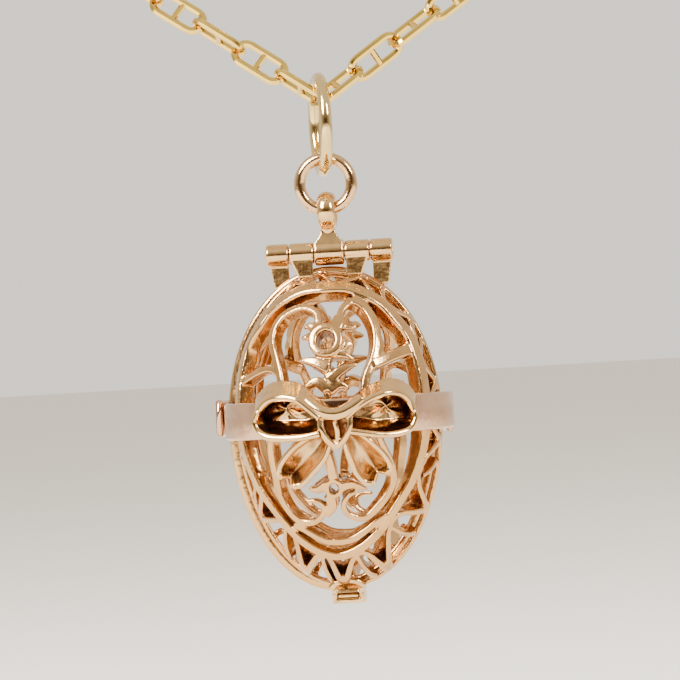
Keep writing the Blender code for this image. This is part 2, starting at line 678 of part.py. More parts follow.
def clasp_bolt():
    """The curved bolt across the mouth, with its thumb tab."""
    end = MOUTH[1] - END_PLAY
    bolt = as_mesh(wire(arc(CLASP_RADIUS, end - BOLT_LENGTH, end, 12), BOLT_RADIUS, resolution=2))
    turn = math.radians(TAB_AT)
    outward = Vector((math.cos(turn), 0.0, math.sin(turn)))
    tab = as_mesh(wire([outward * CLASP_RADIUS, outward * (CLASP_RADIUS + CLASP_TUBE + TAB_HEIGHT)],
                       TAB_RADIUS, resolution=1))
    return combine(bolt, [tab], "UNION")


def clasp_spring():
    """The coil spring behind the bolt, inside the tube."""
    start = BORE_START + 3.0 * END_PLAY
    end = MOUTH[1] - BOLT_LENGTH - 3.0 * END_PLAY
    per_turn = 8
    points = []
    for step in range(SPRING_TURNS * per_turn + 1):
        share = step / (SPRING_TURNS * per_turn)
        turn = math.radians(start + (end - start) * share)
        coil = 2.0 * math.pi * step / per_turn
        outward = Vector((math.cos(turn), 0.0, math.sin(turn)))
        points.append(outward * (CLASP_RADIUS + SPRING_COIL * math.cos(coil))
                      + Vector((0.0, SPRING_COIL * math.sin(coil), 0.0)))
    return as_mesh(wire(points, SPRING_WIRE, resolution=0))


# ---------------------------------------------------------------- build
def build_locket(at_hinge, leaning):
    """Both halves, the hinge, the catch and the bow; all of them turn about the hinge pin."""
    for shape, name, roughness, home in (
            (border(-1), "front_lattice_border", CAST, at_hinge),
            (panel(-1), "front_scroll_panel", CAST, at_hinge),
            (girdle(-1, 0.0), "front_girdle_band", POLISHED, at_hinge),
            (border(1), "back_lattice_border", CAST, leaning),
            (panel(1), "back_scroll_panel", CAST, leaning),
            (girdle(1, GIRDLE_STEP), "back_girdle_band", POLISHED, leaning),
            (catch_box(), "front_catch_sleeve", CAST, at_hinge),
            (catch_tongue(), "back_catch_tongue", CAST, at_hinge),
            (bow_knot(), "bow_knot", CAST, at_hinge),
            (bow_loop(-1), "bow_loop_left", CAST, at_hinge),
            (bow_loop(1), "bow_loop_right", CAST, at_hinge),
            (bow_tail(LEFT_TAIL), "bow_tail_left", CAST, at_hinge),
            (bow_tail(RIGHT_TAIL), "bow_tail_right", CAST, at_hinge)):
        finish(shape, name, ROSE, roughness, HINGE, home)

    inner_near = COLLAR_HALF_WIDTH + GAP
    inner_far = inner_near + INNER_KNUCKLE_WIDTH
    outer_near = inner_far + GAP
    outer_far = outer_near + OUTER_KNUCKLE_WIDTH
    for hand, name in ((-1, "left"), (1, "right")):
        inner = knuckle(hand * inner_near, hand * inner_far, -1)
        finish(inner, f"front_knuckle_{name}", ROSE, CAST, HINGE, at_hinge)
        outer = knuckle(hand * outer_near, hand * outer_far, 1)
        finish(outer, f"back_knuckle_{name}", ROSE, CAST, HINGE, at_hinge)
    pin_end = outer_far - PIN_INSET
    finish(rod_on_x(-pin_end, pin_end, PIN_RADIUS), "hinge_pin", ROSE, CAST, HINGE, at_hinge)


def build_hanging_rings(at_hinge):
    """The hanger, the jump ring and the bail ring, each with its origin where it swings."""
    finish(collar(), "hanger_collar", ROSE, CAST, HANGER_PIVOT, at_hinge)
    finish(eye_ring(), "hanger_eye", ROSE, POLISHED, HANGER_PIVOT, at_hinge)
    jump = as_mesh(ring(JUMP_RING_HOLE, JUMP_RING_WIRE, (0.0, 0.0, JUMP_CENTRE_Z), "XZ"))
    finish(jump, "jump_ring", ROSE, POLISHED, JUMP_PIVOT, at_hinge)
    bail = as_mesh(ring(BAIL_HOLE, BAIL_WIRE, (0.0, 0.0, BAIL_CENTRE_Z), "YZ", steps=32))
    settled = at_hinge @ Matrix.Translation(BAIL_SHIFT) @ Matrix.Rotation(BAIL_TURN, 4, "Z")
    finish(bail, "bail_ring", PALE, POLISHED, BAIL_PIVOT, settled)


def build_chain():
    """The chain round the neck with its bolt ring clasp, whose centre is the origin."""
    chain_links()
    for hand, name in ((-1, "left"), (1, "right")):
        finish(chain_run(hand), f"chain_run_{name}", YELLOW, POLISHED, NAPE)
    finish(clasp_body(), "clasp_ring", YELLOW, POLISHED, NAPE)
    finish(clasp_bolt(), "clasp_bolt", YELLOW, POLISHED, NAPE)
    finish(clasp_spring(), "clasp_spring", STEEL, CAST, NAPE)
    loop = as_mesh(ring(SOLDERED_LOOP_HOLE, END_RING_WIRE, (LOOP_X, 0.0, 0.0), "XZ", steps=16))
    finish(loop, "clasp_loop", YELLOW, POLISHED, NAPE)
    for centre, name in ((LEFT_RING_X, "left"), (RIGHT_RING_X, "right")):
        end = as_mesh(ring(END_RING_HOLE, END_RING_WIRE, (centre, 0.0, 0.0), "XY", steps=20))
        finish(end, f"end_ring_{name}", YELLOW, POLISHED, NAPE)


def build():
    """Every piece, then the leftover helpers go."""
    at_hinge = Matrix.Translation(HINGE)
    leaning = at_hinge @ Matrix.Rotation(BACK_LEAN, 4, "Y")
    build_locket(at_hinge, leaning)
    build_hanging_rings(at_hinge)
    build_chain()
    for leftover in list(helpers.objects):
        bpy.data.objects.remove(leftover, do_unlink=True)
    bpy.context.view_layer.update()


build()
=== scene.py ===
# %% [markdown]
# # A hinged openwork locket on an anchor chain
#
# This lesson builds the looks of a small piece of jewellery round its engineering model.
# The plain model fixes every size and every joint. Here each piece gets its real surface:
# cast ribs with soft edges, a folded ribbon bow, cut chain links and polished gold.

# %% Tools
import math

import bpy
import bmesh
from mathutils import Matrix, Vector
from mathutils.bvhtree import BVHTree


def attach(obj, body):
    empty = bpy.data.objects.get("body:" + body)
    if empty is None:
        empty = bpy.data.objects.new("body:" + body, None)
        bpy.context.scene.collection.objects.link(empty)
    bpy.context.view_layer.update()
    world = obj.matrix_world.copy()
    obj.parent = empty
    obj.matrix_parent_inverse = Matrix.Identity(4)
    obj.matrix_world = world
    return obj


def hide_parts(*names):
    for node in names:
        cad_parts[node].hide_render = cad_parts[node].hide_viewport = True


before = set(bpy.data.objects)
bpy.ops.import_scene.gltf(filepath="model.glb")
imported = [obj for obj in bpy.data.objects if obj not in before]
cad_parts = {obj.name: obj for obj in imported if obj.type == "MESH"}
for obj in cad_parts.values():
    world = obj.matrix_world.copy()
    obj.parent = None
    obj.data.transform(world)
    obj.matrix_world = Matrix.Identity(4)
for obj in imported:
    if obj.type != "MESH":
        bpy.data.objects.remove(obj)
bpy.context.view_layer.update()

# %% [markdown]
# ## Sizes
#
# Everything is drawn in millimetres from the middle of the hinge pin, and one matrix takes it
# to its place. X runs to the right seen from the front, Z is up and the front faces -Y.

# %% Sizes
MM = 0.001
PIN = Vector((0.0, -100.0, -130.0))      # the hinge pin's middle, from the clasp (mm)
TO_WORLD = Matrix.Scale(MM, 4) @ Matrix.Translation(PIN)
BACK_LEAN = math.radians(1.8)
LEANING = TO_WORLD @ Matrix.Rotation(BACK_LEAN, 4, "Y")
EGG = Vector((6.3, 5.8, 9.0))            # half width, depth of one half, reach above the waist
EGG_BELOW = 10.6                         # reach below the waist
WAIST = -10.2                            # height of the widest place

# %% [markdown]
# ## Camera
#
# A long lens about thirty centimetres away, a little to the right of the locket and
# turned slightly, because the necklace does not hang quite straight.

# %% Camera
FIELD = 42.5 * MM
DISTANCE = 0.30
AZIMUTH = math.radians(5.0)
ROLL = math.radians(3.4)

forward = Vector((-math.sin(AZIMUTH), math.cos(AZIMUTH), 0.0))
level_right = Vector((math.cos(AZIMUTH), math.sin(AZIMUTH), 0.0))
right = level_right * math.cos(ROLL) - Vector((0.0, 0.0, 1.0)) * math.sin(ROLL)
up = right.cross(forward)
aim = PIN * MM + right * 0.65 * MM - up * 5.47 * MM
camera = bpy.data.objects.new("camera", bpy.data.cameras.new("camera"))
bpy.context.scene.collection.objects.link(camera)
camera.matrix_world = (Matrix.Translation(aim - forward * DISTANCE)
                       @ Matrix((right, up, -forward)).transposed().to_4x4())
camera.data.angle = 2.0 * math.atan(FIELD / 2.0 / DISTANCE)
camera.data.clip_start = 0.01
bpy.context.scene.camera = camera
print("camera field:", round(math.degrees(camera.data.angle), 2), "degrees")

# %% [markdown]
# ## Small helpers
#
# One function turns a screen colour into the linear values that shaders use. The others add
# nodes, objects and meshes in a single call, or draw a smooth curve through a few points.

# %% Helpers
def linear(code):
    """Linear RGBA of an sRGB hex colour."""
    values = [int(code[place:place + 2], 16) / 255.0 for place in (1, 3, 5)]
    values = [v / 12.92 if v <= 0.04045 else ((v + 0.055) / 1.055) ** 2.4 for v in values]
    return (*values, 1.0)


def add_node(tree, kind, inputs=(), **settings):
    """Adds a node with its settings; an input takes a value or another node's socket."""
    node = tree.nodes.new(kind)
    for name, value in settings.items():
        setattr(node, name, value)
    for key, value in dict(inputs).items():
        if isinstance(value, bpy.types.NodeSocket):
            tree.links.new(value, node.inputs[key])
        else:
            node.inputs[key].default_value = value
    return node


def math_node(tree, operation, first, second=0.0, third=0.0):
    """One step of arithmetic in a node tree."""
    return add_node(tree, "ShaderNodeMath", {0: first, 1: second, 2: third},
                    operation=operation).outputs[0]


def ramp(tree, value, start, end, low=0.0, high=1.0):
    """The value, mapped from start and end to low and high."""
    return add_node(tree, "ShaderNodeMapRange", {
        "Value": value, "From Min": start, "From Max": end,
        "To Min": low, "To Max": high}).outputs[0]


def blend(tree, share, first, second):
    """A colour between the two hex colours."""
    return add_node(tree, "ShaderNodeMix", {
        0: share, 6: linear(first), 7: linear(second)}, data_type="RGBA").outputs[2]


def added(name, data):
    """A new object in the scene."""
    obj = bpy.data.objects.new(name, data)
    bpy.context.scene.collection.objects.link(obj)
    return obj


def finished(soup, name):
    """The working mesh as a mesh of this name; the working copy goes."""
    mesh = bpy.data.meshes.new(name)
    soup.to_mesh(mesh)
    soup.free()
    return mesh


def joined(meshes, name):
    """One mesh that holds all the meshes."""
    soup = bmesh.new()
    for mesh in meshes:
        soup.from_mesh(mesh)
    return finished(soup, name)


def joined_rows(rows, closed):
    """A skin over rows of points, each row a closed outline."""
    soup = bmesh.new()
    made = [[soup.verts.new(point) for point in row] for row in rows]
    for row, following in zip(made, made[1:] + made[:1] if closed else made[1:]):
        for step in range(len(row)):
            nearby = (step + 1) % len(row)
            soup.faces.new((row[step], row[nearby], following[nearby], following[step]))
    if not closed:
        soup.faces.new(made[0])
        soup.faces.new(made[-1])
    bmesh.ops.recalc_face_normals(soup, faces=soup.faces)
    return finished(soup, "skin")


def new_tree(name, inputs, output):
    """A geometry node tree with these inputs, as label and kind, and what they give."""
    tree = bpy.data.node_groups.new(name, "GeometryNodeTree")
    for label, kind in inputs:
        tree.interface.new_socket(label, in_out="INPUT", socket_type="NodeSocket" + kind)
    tree.interface.new_socket(output, in_out="OUTPUT", socket_type="NodeSocketGeometry")
    return tree, add_node(tree, "NodeGroupInput").outputs


def coat(tree, geometry, material):
    """Ends a tree: its geometry gets the material and goes out."""
    real = add_node(tree, "GeometryNodeRealizeInstances", {"Geometry": geometry})
    coated = add_node(tree, "GeometryNodeSetMaterial", {
        "Geometry": real.outputs[0], "Material": material})
    add_node(tree, "NodeGroupOutput", {0: coated.outputs[0]})


def run_tree(obj, tree, values):
    """Lets the node tree work on the object, with these values by label."""
    modifier = obj.modifiers.new(tree.name, "NODES")
    modifier.node_group = tree
    for item in tree.interface.items_tree:
        if item.in_out == "INPUT" and item.name in values:
            modifier[item.identifier] = values[item.name]


def smooth(route, per_span, closed=False):
    """Points of a Catmull-Rom curve through the route; works on tuples of any length."""
    count = len(route)
    spans = count if closed else count - 1
    points = []
    for span in range(spans):
        if closed:
            a, b, c, d = (route[(span + k - 1) % count] for k in range(4))
        else:
            b, c = route[span], route[span + 1]
            a = route[span - 1] if span > 0 else tuple(2 * p - q for p, q in zip(b, c))
            d = route[span + 2] if span + 2 < count else tuple(2 * q - p for p, q in zip(b, c))
        for step in range(per_span):
            t = step / per_span
            points.append(tuple(
                0.5 * (2 * q + (r - p) * t + (2 * p - 5 * q + 4 * r - s) * t * t
                       + (3 * q - p - 3 * r + s) * t ** 3)
                for p, q, r, s in zip(a, b, c, d)))
    if not closed:
        points.append(tuple(route[-1]))
    return points


# %% [markdown]
# ## Metals
#
# Polished gold is a mirror with a warm tint, so its colour sits in the metal's reflection.
# Four things keep it from looking like plastic: very fine scratches that spread the
# highlights, a wavy surface left by casting and polishing, thin tarnish patches with painted
# shade that darkens sheltered places, and a different tint for each alloy.

# %% Metal recipe
def metal(name, colour, tarnish_and_shade, roughness, waviness, scratches):
    """A gold alloy; the attribute named hollow says how sheltered the surface is, 0 to 1, and
    sheltered places get painted shade.
    """
    material = bpy.data.materials.new(name)
    material.use_nodes = True
    tree = material.node_tree
    shader = tree.nodes["Principled BSDF"]
    spot = add_node(tree, "ShaderNodeTexCoord").outputs["Object"]

    # thin tarnish patches about a millimetre across, and painted shade that darkens sheltered
    # places
    patches = add_node(tree, "ShaderNodeTexNoise", {
        "Vector": spot, "Scale": 0.9 / MM, "Detail": 4.0, "Roughness": 0.6}).outputs[0]
    thin = ramp(tree, patches, 0.5, 0.8, high=0.3)
    hollow = add_node(tree, "ShaderNodeAttribute", attribute_name="hollow").outputs["Fac"]
    sheltered = math_node(tree, "MULTIPLY_ADD", patches, 0.25, hollow)
    # painted shade: the more sheltered the place, the nearer its colour comes to the dark one
    painted_shade = ramp(tree, sheltered, 0.5, 0.85)
    dark = math_node(tree, "MAXIMUM", thin, painted_shade)
    # the dark colour stands for tarnish in the thin patches and for painted shade in sheltered
    # places
    tree.links.new(blend(tree, dark, colour, tarnish_and_shade), shader.inputs["Base Color"])
    shader.inputs["Metallic"].default_value = 1.0

    # scratches: long thin noise in two directions, each a few hundredths of a millimetre wide
    strands = []
    for turn in (0.4, 1.9):
        stretched = add_node(tree, "ShaderNodeMapping", {
            "Vector": spot, "Rotation": (turn, turn * 0.5, turn),
            "Scale": (14.0 / MM, 0.8 / MM, 0.8 / MM)}).outputs[0]
        strands.append(add_node(tree, "ShaderNodeTexNoise", {
            "Vector": stretched, "Scale": 1.0, "Detail": 2.0}).outputs[0])
    strand = math_node(tree, "MAXIMUM", strands[0], strands[1])
    rough = ramp(tree, strand, 0.45, 0.8, roughness, roughness + scratches)
    rough = math_node(tree, "MULTIPLY_ADD", dark, 0.2, rough)
    tree.links.new(rough, shader.inputs["Roughness"])

    # the casting's slow waves and the scratches' shallow relief
    waves = add_node(tree, "ShaderNodeTexNoise", {
        "Vector": spot, "Scale": 1.6 / MM, "Detail": 2.0, "Roughness": 0.5}).outputs[0]
    relief = math_node(tree, "MULTIPLY_ADD", strand, 0.06, waves)
    bump = add_node(tree, "ShaderNodeBump", {
        "Height": relief, "Strength": waviness, "Distance": 0.05 * MM})
    tree.links.new(bump.outputs[0], shader.inputs["Normal"])
    return material


# %% The alloys
# each alloy: name, colour, dark colour for tarnish and painted shade, roughness, waviness,
# scratches
rose_cast = metal("cast rose gold", "#CC9E66", "#542812", 0.14, 0.5, 0.1)
rose_bow = metal("polished cast rose gold", "#D8AE74", "#5C2E16", 0.1, 0.22, 0.08)
rose_band = metal("polished rose gold strip", "#D2A989", "#8F5C3E", 0.1, 0.3, 0.06)
rose_wire = metal("drawn rose gold wire", "#CFA878", "#80502E", 0.08, 0.25, 0.08)
pale_wire = metal("drawn pale gold wire", "#D9BC7E", "#9A7A42", 0.07, 0.2, 0.06)
yellow_cut = metal("diamond-cut yellow gold", "#E3BE5C", "#9A7426", 0.06, 0.05, 0.06)
steel_wire = metal("drawn spring steel", "#B8B8B8", "#7A7A7A", 0.22, 0.2, 0.06)
print("metals:", len(bpy.data.materials))

# %% [markdown]
# ## Ribs cast on an egg
#
# The openwork is drawn as lines that already lie on the egg. A node tree gives each line
# a bar's cross-section that stands square to the egg's skin. The line's radius makes the
# bar wider or narrower, so strokes can swell and taper like engraved ones.

# %% Node tree for the ribs
def rib_tree():
    """Sweeps a bar with rounded edges along curves, upright on the egg's skin."""
    tree, given = new_tree("ribs on an egg", [
        ("Strokes", "Geometry"), ("Width", "Float"), ("Depth", "Float"), ("Top", "Float"),
        ("Edge", "Float"), ("Material", "Material")], "Ribs")

    # the skin's normal at a point of an ellipsoid
    spot = add_node(tree, "GeometryNodeInputPosition").outputs[0]
    parts = add_node(tree, "ShaderNodeSeparateXYZ", {0: spot}).outputs
    height = math_node(tree, "SUBTRACT", parts[2], WAIST)
    above = math_node(tree, "GREATER_THAN", height, 0.0)
    reach = math_node(tree, "MULTIPLY_ADD", above, EGG.z - EGG_BELOW, EGG_BELOW)
    normal = add_node(tree, "ShaderNodeCombineXYZ", {
        0: math_node(tree, "DIVIDE", parts[0], EGG.x ** 2),
        1: math_node(tree, "DIVIDE", parts[1], EGG.y ** 2),
        2: math_node(tree, "DIVIDE", height, math_node(tree, "MULTIPLY", reach, reach))})
    standing = add_node(tree, "GeometryNodeSetCurveNormal", {
        "Curve": given["Strokes"], "Normal": normal.outputs[0]}, mode="FREE")

    # the bar's cross-section: its first axis follows the normal
    bar = add_node(tree, "GeometryNodeCurvePrimitiveQuadrilateral", {
        "Width": given["Depth"], "Height": given["Width"]}, mode="RECTANGLE")
    shift = math_node(tree, "MULTIPLY_ADD", given["Depth"], -0.5, given["Top"])
    offset = add_node(tree, "ShaderNodeCombineXYZ", {0: shift})
    raised = add_node(tree, "GeometryNodeSetPosition", {
        "Geometry": bar.outputs[0], "Offset": offset.outputs[0]})
    eased = add_node(tree, "GeometryNodeFilletCurve", {
        "Curve": raised.outputs[0], "Count": 3, "Radius": given["Edge"],
        "Limit Radius": True}, mode="POLY")
    swept = add_node(tree, "GeometryNodeCurveToMesh", {
        "Curve": standing.outputs[0], "Profile Curve": eased.outputs[0],
        "Scale": add_node(tree, "GeometryNodeInputRadius").outputs[0], "Fill Caps": True})
    coat(tree, swept.outputs[0], given["Material"])
    return tree


RIBS = rib_tree()
print("rib tree nodes:", len(RIBS.nodes))

# %% [markdown]
# Two ways to put a point on the egg: from where it is seen in the front view, and from its
# angle round the rim. In the second, a reach of 1 is the rim and 0 the middle of the front.

# %% Points on the egg
def on_egg(x, z, side, lift=0.0):
    """The skin's point seen at (x, z) from the front; side is -1 in front, +1 behind."""
    tall = EGG.z if z > WAIST else EGG_BELOW
    share = (x / EGG.x) ** 2 + ((z - WAIST) / tall) ** 2
    y = side * EGG.y * math.sqrt(max(0.0, 1.0 - share))
    outward = Vector((x / EGG.x ** 2, y / EGG.y ** 2, (z - WAIST) / tall ** 2)).normalized()
    return Vector((x, y, z)) + outward * lift


def round_egg(degrees, reach, side, lift=0.0):
    """The skin's point at an angle round the front view, from +X through the top."""
    turn = math.radians(degrees)
    tall = EGG.z if math.sin(turn) > 0.0 else EGG_BELOW
    x, z = EGG.x * reach * math.cos(turn), WAIST + tall * reach * math.sin(turn)
    return on_egg(x, z, side, lift)


# %% [markdown]
# Lines become curve objects, the node tree turns them into bars, and the bars are fused into
# one skin. Then each point measures how sheltered it is, and the metal paints shade there.

# %% Curves, baking and joining
GOLDEN_ANGLE = 2.39996                   # spreads the measuring rays evenly over a dome


def curve_object(lines):
    """A curve object from (points, radii, closed) lines."""
    curve = bpy.data.curves.new("strokes", "CURVE")
    curve.dimensions = "3D"
    for points, radii, closed in lines:
        spline = curve.splines.new("POLY")
        spline.points.add(len(points) - 1)
        for target, point, radius in zip(spline.points, points, radii):
            target.co = (*point, 1.0)
            target.radius = radius
        spline.use_cyclic_u = closed
    return added("strokes", curve)


def baked(obj):
    """The object's finished shape as a plain mesh; the object itself goes."""
    bpy.context.view_layer.update()
    shape = bpy.data.meshes.new_from_object(
        obj.evaluated_get(bpy.context.evaluated_depsgraph_get()))
    bpy.data.objects.remove(obj, do_unlink=True)
    return shape


def ribs(lines, width, depth, top, edge=0.1):
    """The mesh of ribs along the lines, in millimetres."""
    obj = curve_object(lines)
    run_tree(obj, RIBS, {
        "Width": width, "Depth": depth, "Top": top, "Edge": edge, "Material": rose_cast})
    return baked(obj)


def fused(meshes, cell, softening):
    """One skin round all the meshes, as molten metal would leave it, then softened."""
    obj = added("joined", joined(meshes, "joined"))
    skin = obj.modifiers.new("skin", "REMESH")
    skin.mode = "VOXEL"
    skin.voxel_size = cell
    soften = obj.modifiers.new("soften", "SMOOTH")
    soften.factor = 0.5
    soften.iterations = softening
    return baked(obj)


def measure_hollows(mesh, others, reach=1.3, rays=14):
    """Stores at each point the share of directions that soon meet metal."""
    soup = bmesh.new()
    for part in (mesh, *others):
        soup.from_mesh(part)
    metal_tree = BVHTree.FromBMesh(soup)
    soup.free()
    fan = []
    for step in range(rays):
        height = (step + 0.5) / rays
        turn = step * GOLDEN_ANGLE
        flat = math.sqrt(1.0 - height * height)
        fan.append(Vector((flat * math.cos(turn), flat * math.sin(turn), height)))
    shares = []
    for vertex in mesh.vertices:
        facing = vertex.normal.to_track_quat("Z", "Y")
        start = vertex.co + vertex.normal * 0.02
        met = sum(1 for ray in fan if metal_tree.ray_cast(start, facing @ ray, reach)[0])
        shares.append(met / rays)
    # the metal paints shade where this share is high
    mesh.attributes.new("hollow", "FLOAT", "POINT").data.foreach_set("value", shares)


def place(mesh, name, body, slot, material, replaced=(), home=TO_WORLD, others=None):
    """Puts a finished mesh on its body, with its metal, in place of CAD nodes."""
    if others is not None:
        measure_hollows(mesh, others)
    mesh.transform(home)
    mesh.materials.clear()
    mesh.materials.append(material)
    mesh.shade_smooth()
    obj = added(name, mesh)
    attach(obj, body)
    if replaced:
        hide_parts(*replaced)
    print(name, len(mesh.polygons), "faces")
    return obj


# %% [markdown]
# ## The border lattice
#
# The border is a rim with a row of swags. Each swag starts at the rim, dips to the raised
# frame and comes back, so neighbours meet the rim in a cusp.

# %% Swags round the rim
# where the swags meet the rim, in degrees round the front view from +X through the top
CUSPS = [11, 40, 72, 111, 143, 170, 192, 215, 246, 268, 294, 325, 350]
# the raised frame's right half, as (x, z) from the hinge pin
FRAME = [(0.0, -2.3), (1.6, -2.45), (3.3, -3.4), (4.3, -4.6), (4.95, -5.6), (5.35, -6.8),
         (5.6, -8.0), (5.7, -9.8), (5.5, -12.0), (4.9, -13.9), (4.25, -15.1), (3.0, -16.9),
         (2.15, -17.8), (1.1, -18.5), (0.0, -18.8)]
FRAME_SHIFT = -0.2
SWAG_STEPS = 16
RIM_REACH = 0.993                        # where a swag meets the rim
BORDER_CELL = {-1: 0.07, 1: 0.085}       # cell size of the front and the back casting


def whole_frame():
    """The frame's outline all the way round."""
    return FRAME + [(-x, z) for x, z in FRAME[-2:0:-1]]


def frame_reach(degrees):
    """How far out the frame's outer edge lies at an angle, as a share of the egg."""
    best, found = 9.0, 0.9
    for x, z in smooth(whole_frame(), 4, closed=True):
        tall = EGG.z if z > WAIST else EGG_BELOW
        turn = math.degrees(math.atan2((z - WAIST) / tall, x / EGG.x)) % 360.0
        gap = abs((turn - degrees + 180.0) % 360.0 - 180.0)
        if gap < best:
            best, found = gap, math.hypot(x / EGG.x, (z - WAIST) / tall)
    return found


def swags(side):
    """The swags' lines, from cusp to cusp, and a short wall behind the middle of each."""
    lines = []
    for start, end in zip(CUSPS, CUSPS[1:] + [CUSPS[0] + 360]):
        points, radii = [], []
        for step in range(SWAG_STEPS + 1):
            share = step / SWAG_STEPS
            degrees = start + (end - start) * share
            outer = math.asin(RIM_REACH)
            inner = math.asin(min(0.965, frame_reach(degrees % 360) + 0.02))
            lean = abs(2.0 * share - 1.0) ** 2.6
            reach = math.sin(inner + (outer - inner) * lean)
            seen = degrees if side < 0 else 180.0 - degrees
            points.append(round_egg(seen, reach, side, 0.12 * lean))
            radii.append(0.8 + 0.45 * lean)
        lines.append((points, radii, False))
        middle = start + (end - start) * (0.42 if len(lines) % 4 else 0.6)
        wall = []
        for share in (0.0, 0.33, 0.66, 1.0):
            turn = inner + (outer - inner) * share
            seen = middle + 7.0 * share
            seen = seen if side < 0 else 180.0 - seen
            wall.append(round_egg(seen, math.sin(turn), side))
        lines.append((wall, [0.7, 0.75, 0.9, 1.1], False))
    return lines


# %% [markdown]
# ## Scrollwork
#
# Inside the frame each scroll is one stroke of a graver: a few points as they are seen from
# the front, and a width that changes from the start through the middle to the end.

# %% Scrollwork
SCROLL_SHIFT = -0.12
SCROLLS = [
    # (points, width at the start, in the middle and at the end as shares of the bar's width)
    ([(-3.7, -11.0), (-3.2, -9.5), (-2.95, -7.9), (-3.2, -6.5), (-3.45, -5.5), (-3.35, -4.65),
      (-2.8, -3.85), (-1.95, -3.42), (-1.25, -3.35), (-0.6, -3.7), (-0.45, -4.3), (-0.5, -5.0)],
     (1.0, 1.1, 0.9)),
    ([(2.8, -11.0), (2.3, -9.5), (2.35, -8.1), (2.85, -6.9), (3.1, -5.9), (3.05, -4.9),
      (2.75, -4.1), (2.3, -3.45), (1.6, -3.0)], (1.0, 1.2, 1.3)),
    ([(1.6, -3.05), (1.12, -3.5), (0.9, -4.0), (1.0, -4.45), (1.4, -4.76), (1.9, -4.7)],
     (1.1, 0.8, 0.5)),
    ([(0.5, -5.0), (0.75, -4.5), (0.85, -4.0)], (1.9, 1.8, 1.2)),
    ([(3.1, -5.0), (3.35, -5.9), (3.2, -6.9)], (0.5, 0.8, 0.9)),
    ([(-5.5, -7.7), (-4.3, -7.15), (-3.6, -7.05), (-3.0, -7.35)], (1.1, 0.9, 1.0)),
    ([(5.0, -6.3), (4.1, -6.6), (3.3, -6.95), (2.8, -7.1)], (1.6, 1.4, 1.5)),
    ([(0.0, -6.2), (0.03, -7.5), (-0.3, -12.4)], (1.0, 0.8, 1.0)),
    ([(-0.5, -5.2), (-1.0, -5.15), (-1.55, -5.25)], (1.4, 1.0, 0.3)),
    ([(-0.6, -4.75), (-1.0, -4.5), (-1.4, -4.6)], (1.3, 0.9, 0.3)),
    ([(0.1, -7.2), (-0.8, -6.75), (-1.85, -6.6)], (1.6, 1.3, 0.25)),
    ([(0.1, -6.3), (0.9, -6.35), (1.75, -6.75)], (1.5, 1.1, 0.25)),
    ([(0.1, -8.0), (0.9, -7.35), (1.9, -7.0)], (1.6, 1.3, 0.3)),
    ([(1.0, -5.9), (1.35, -5.75), (1.7, -5.85)], (1.2, 0.9, 0.3)),
    ([(0.0, -8.5), (-0.6, -8.0), (-1.2, -8.25), (-1.6, -8.7)], (1.5, 1.3, 0.5)),
    ([(0.1, -8.6), (0.7, -8.25), (1.3, -8.5)], (1.5, 1.2, 0.5)),
    ([(-3.65, -10.9), (-3.85, -12.0), (-3.65, -13.7), (-3.55, -14.65), (-3.2, -15.5),
      (-2.7, -16.2), (-2.1, -16.62), (-1.4, -16.6), (-0.85, -16.2), (-0.75, -15.7),
      (-1.1, -15.35), (-1.8, -15.3)], (1.1, 1.0, 0.45)),
    ([(2.75, -10.9), (3.05, -12.0), (3.4, -12.85), (3.6, -13.7), (3.6, -14.4), (3.1, -15.3),
      (2.35, -16.1), (1.8, -16.5), (1.25, -16.5), (0.7, -16.2), (0.5, -15.65), (0.85, -15.1),
      (1.5, -14.85)], (1.1, 1.0, 0.5)),
    ([(-2.75, -16.75), (-2.0, -17.15), (-1.3, -17.6), (-0.55, -17.9), (0.7, -17.85),
      (1.6, -17.4), (2.3, -16.9), (3.0, -16.45)], (0.8, 1.0, 0.8)),
    ([(-0.35, -15.0), (-0.2, -15.7), (-0.6, -16.2)], (1.4, 1.2, 0.9)),
    ([(0.4, -14.5), (1.1, -14.4), (2.0, -14.75)], (1.4, 1.1, 0.4)),
    ([(-0.4, -14.3), (-1.0, -14.6), (-1.6, -14.5)], (1.3, 1.0, 0.4)),
    ([(0.0, -14.0), (-0.1, -13.2), (-0.3, -12.4)], (1.2, 1.3, 1.4)),
]
RINGS = [((0.0, -5.5), 0.8, 1.55), ((0.0, -14.55), 0.45, 0.9)]    # centre, radius, width


def tapered(stroke, widths, side, per_span=5):
    """A stroke on the egg whose width goes through three values."""
    flat = smooth(stroke, per_span)
    points, radii = [], []
    for index, (x, z) in enumerate(flat):
        share = 2.0 * index / (len(flat) - 1)
        low, high = (widths[0], widths[1]) if share < 1.0 else (widths[1], widths[2])
        points.append(on_egg(-side * (x + SCROLL_SHIFT), z, side))
        radii.append(low + (high - low) * (share % 1.0 if share < 2.0 else 1.0))
    return points, radii, False


def panel(side):
    """Frame, scrolls and rings, fused in one casting."""
    flat = smooth(whole_frame(), 5, closed=True)
    frame_points = [on_egg(-side * (x + FRAME_SHIFT), z, side) for x, z in flat]
    frame_widths = [min(1.0, max(0.62, 1.0 + (z + 11.0) * 0.08)) for x, z in flat]
    pieces = [ribs([(frame_points, frame_widths, True)], 0.98, 1.05, 0.32, 0.2)]
    pieces.append(ribs([tapered(stroke, widths, side) for stroke, widths in SCROLLS],
                       0.5, 0.8, 0.12, 0.12))
    circles = []
    for (x, z), radius, width in RINGS:
        turns = [math.radians(a) for a in range(0, 360, 15)]
        points = [on_egg(-side * (x + SCROLL_SHIFT + radius * math.cos(t)),
                         z + radius * math.sin(t), side) for t in turns]
        circles.append((points, [width] * len(points), True))
    pieces.append(ribs(circles, 0.36, 0.8, 0.2, 0.1))
    return fused(pieces, 0.07, 3)


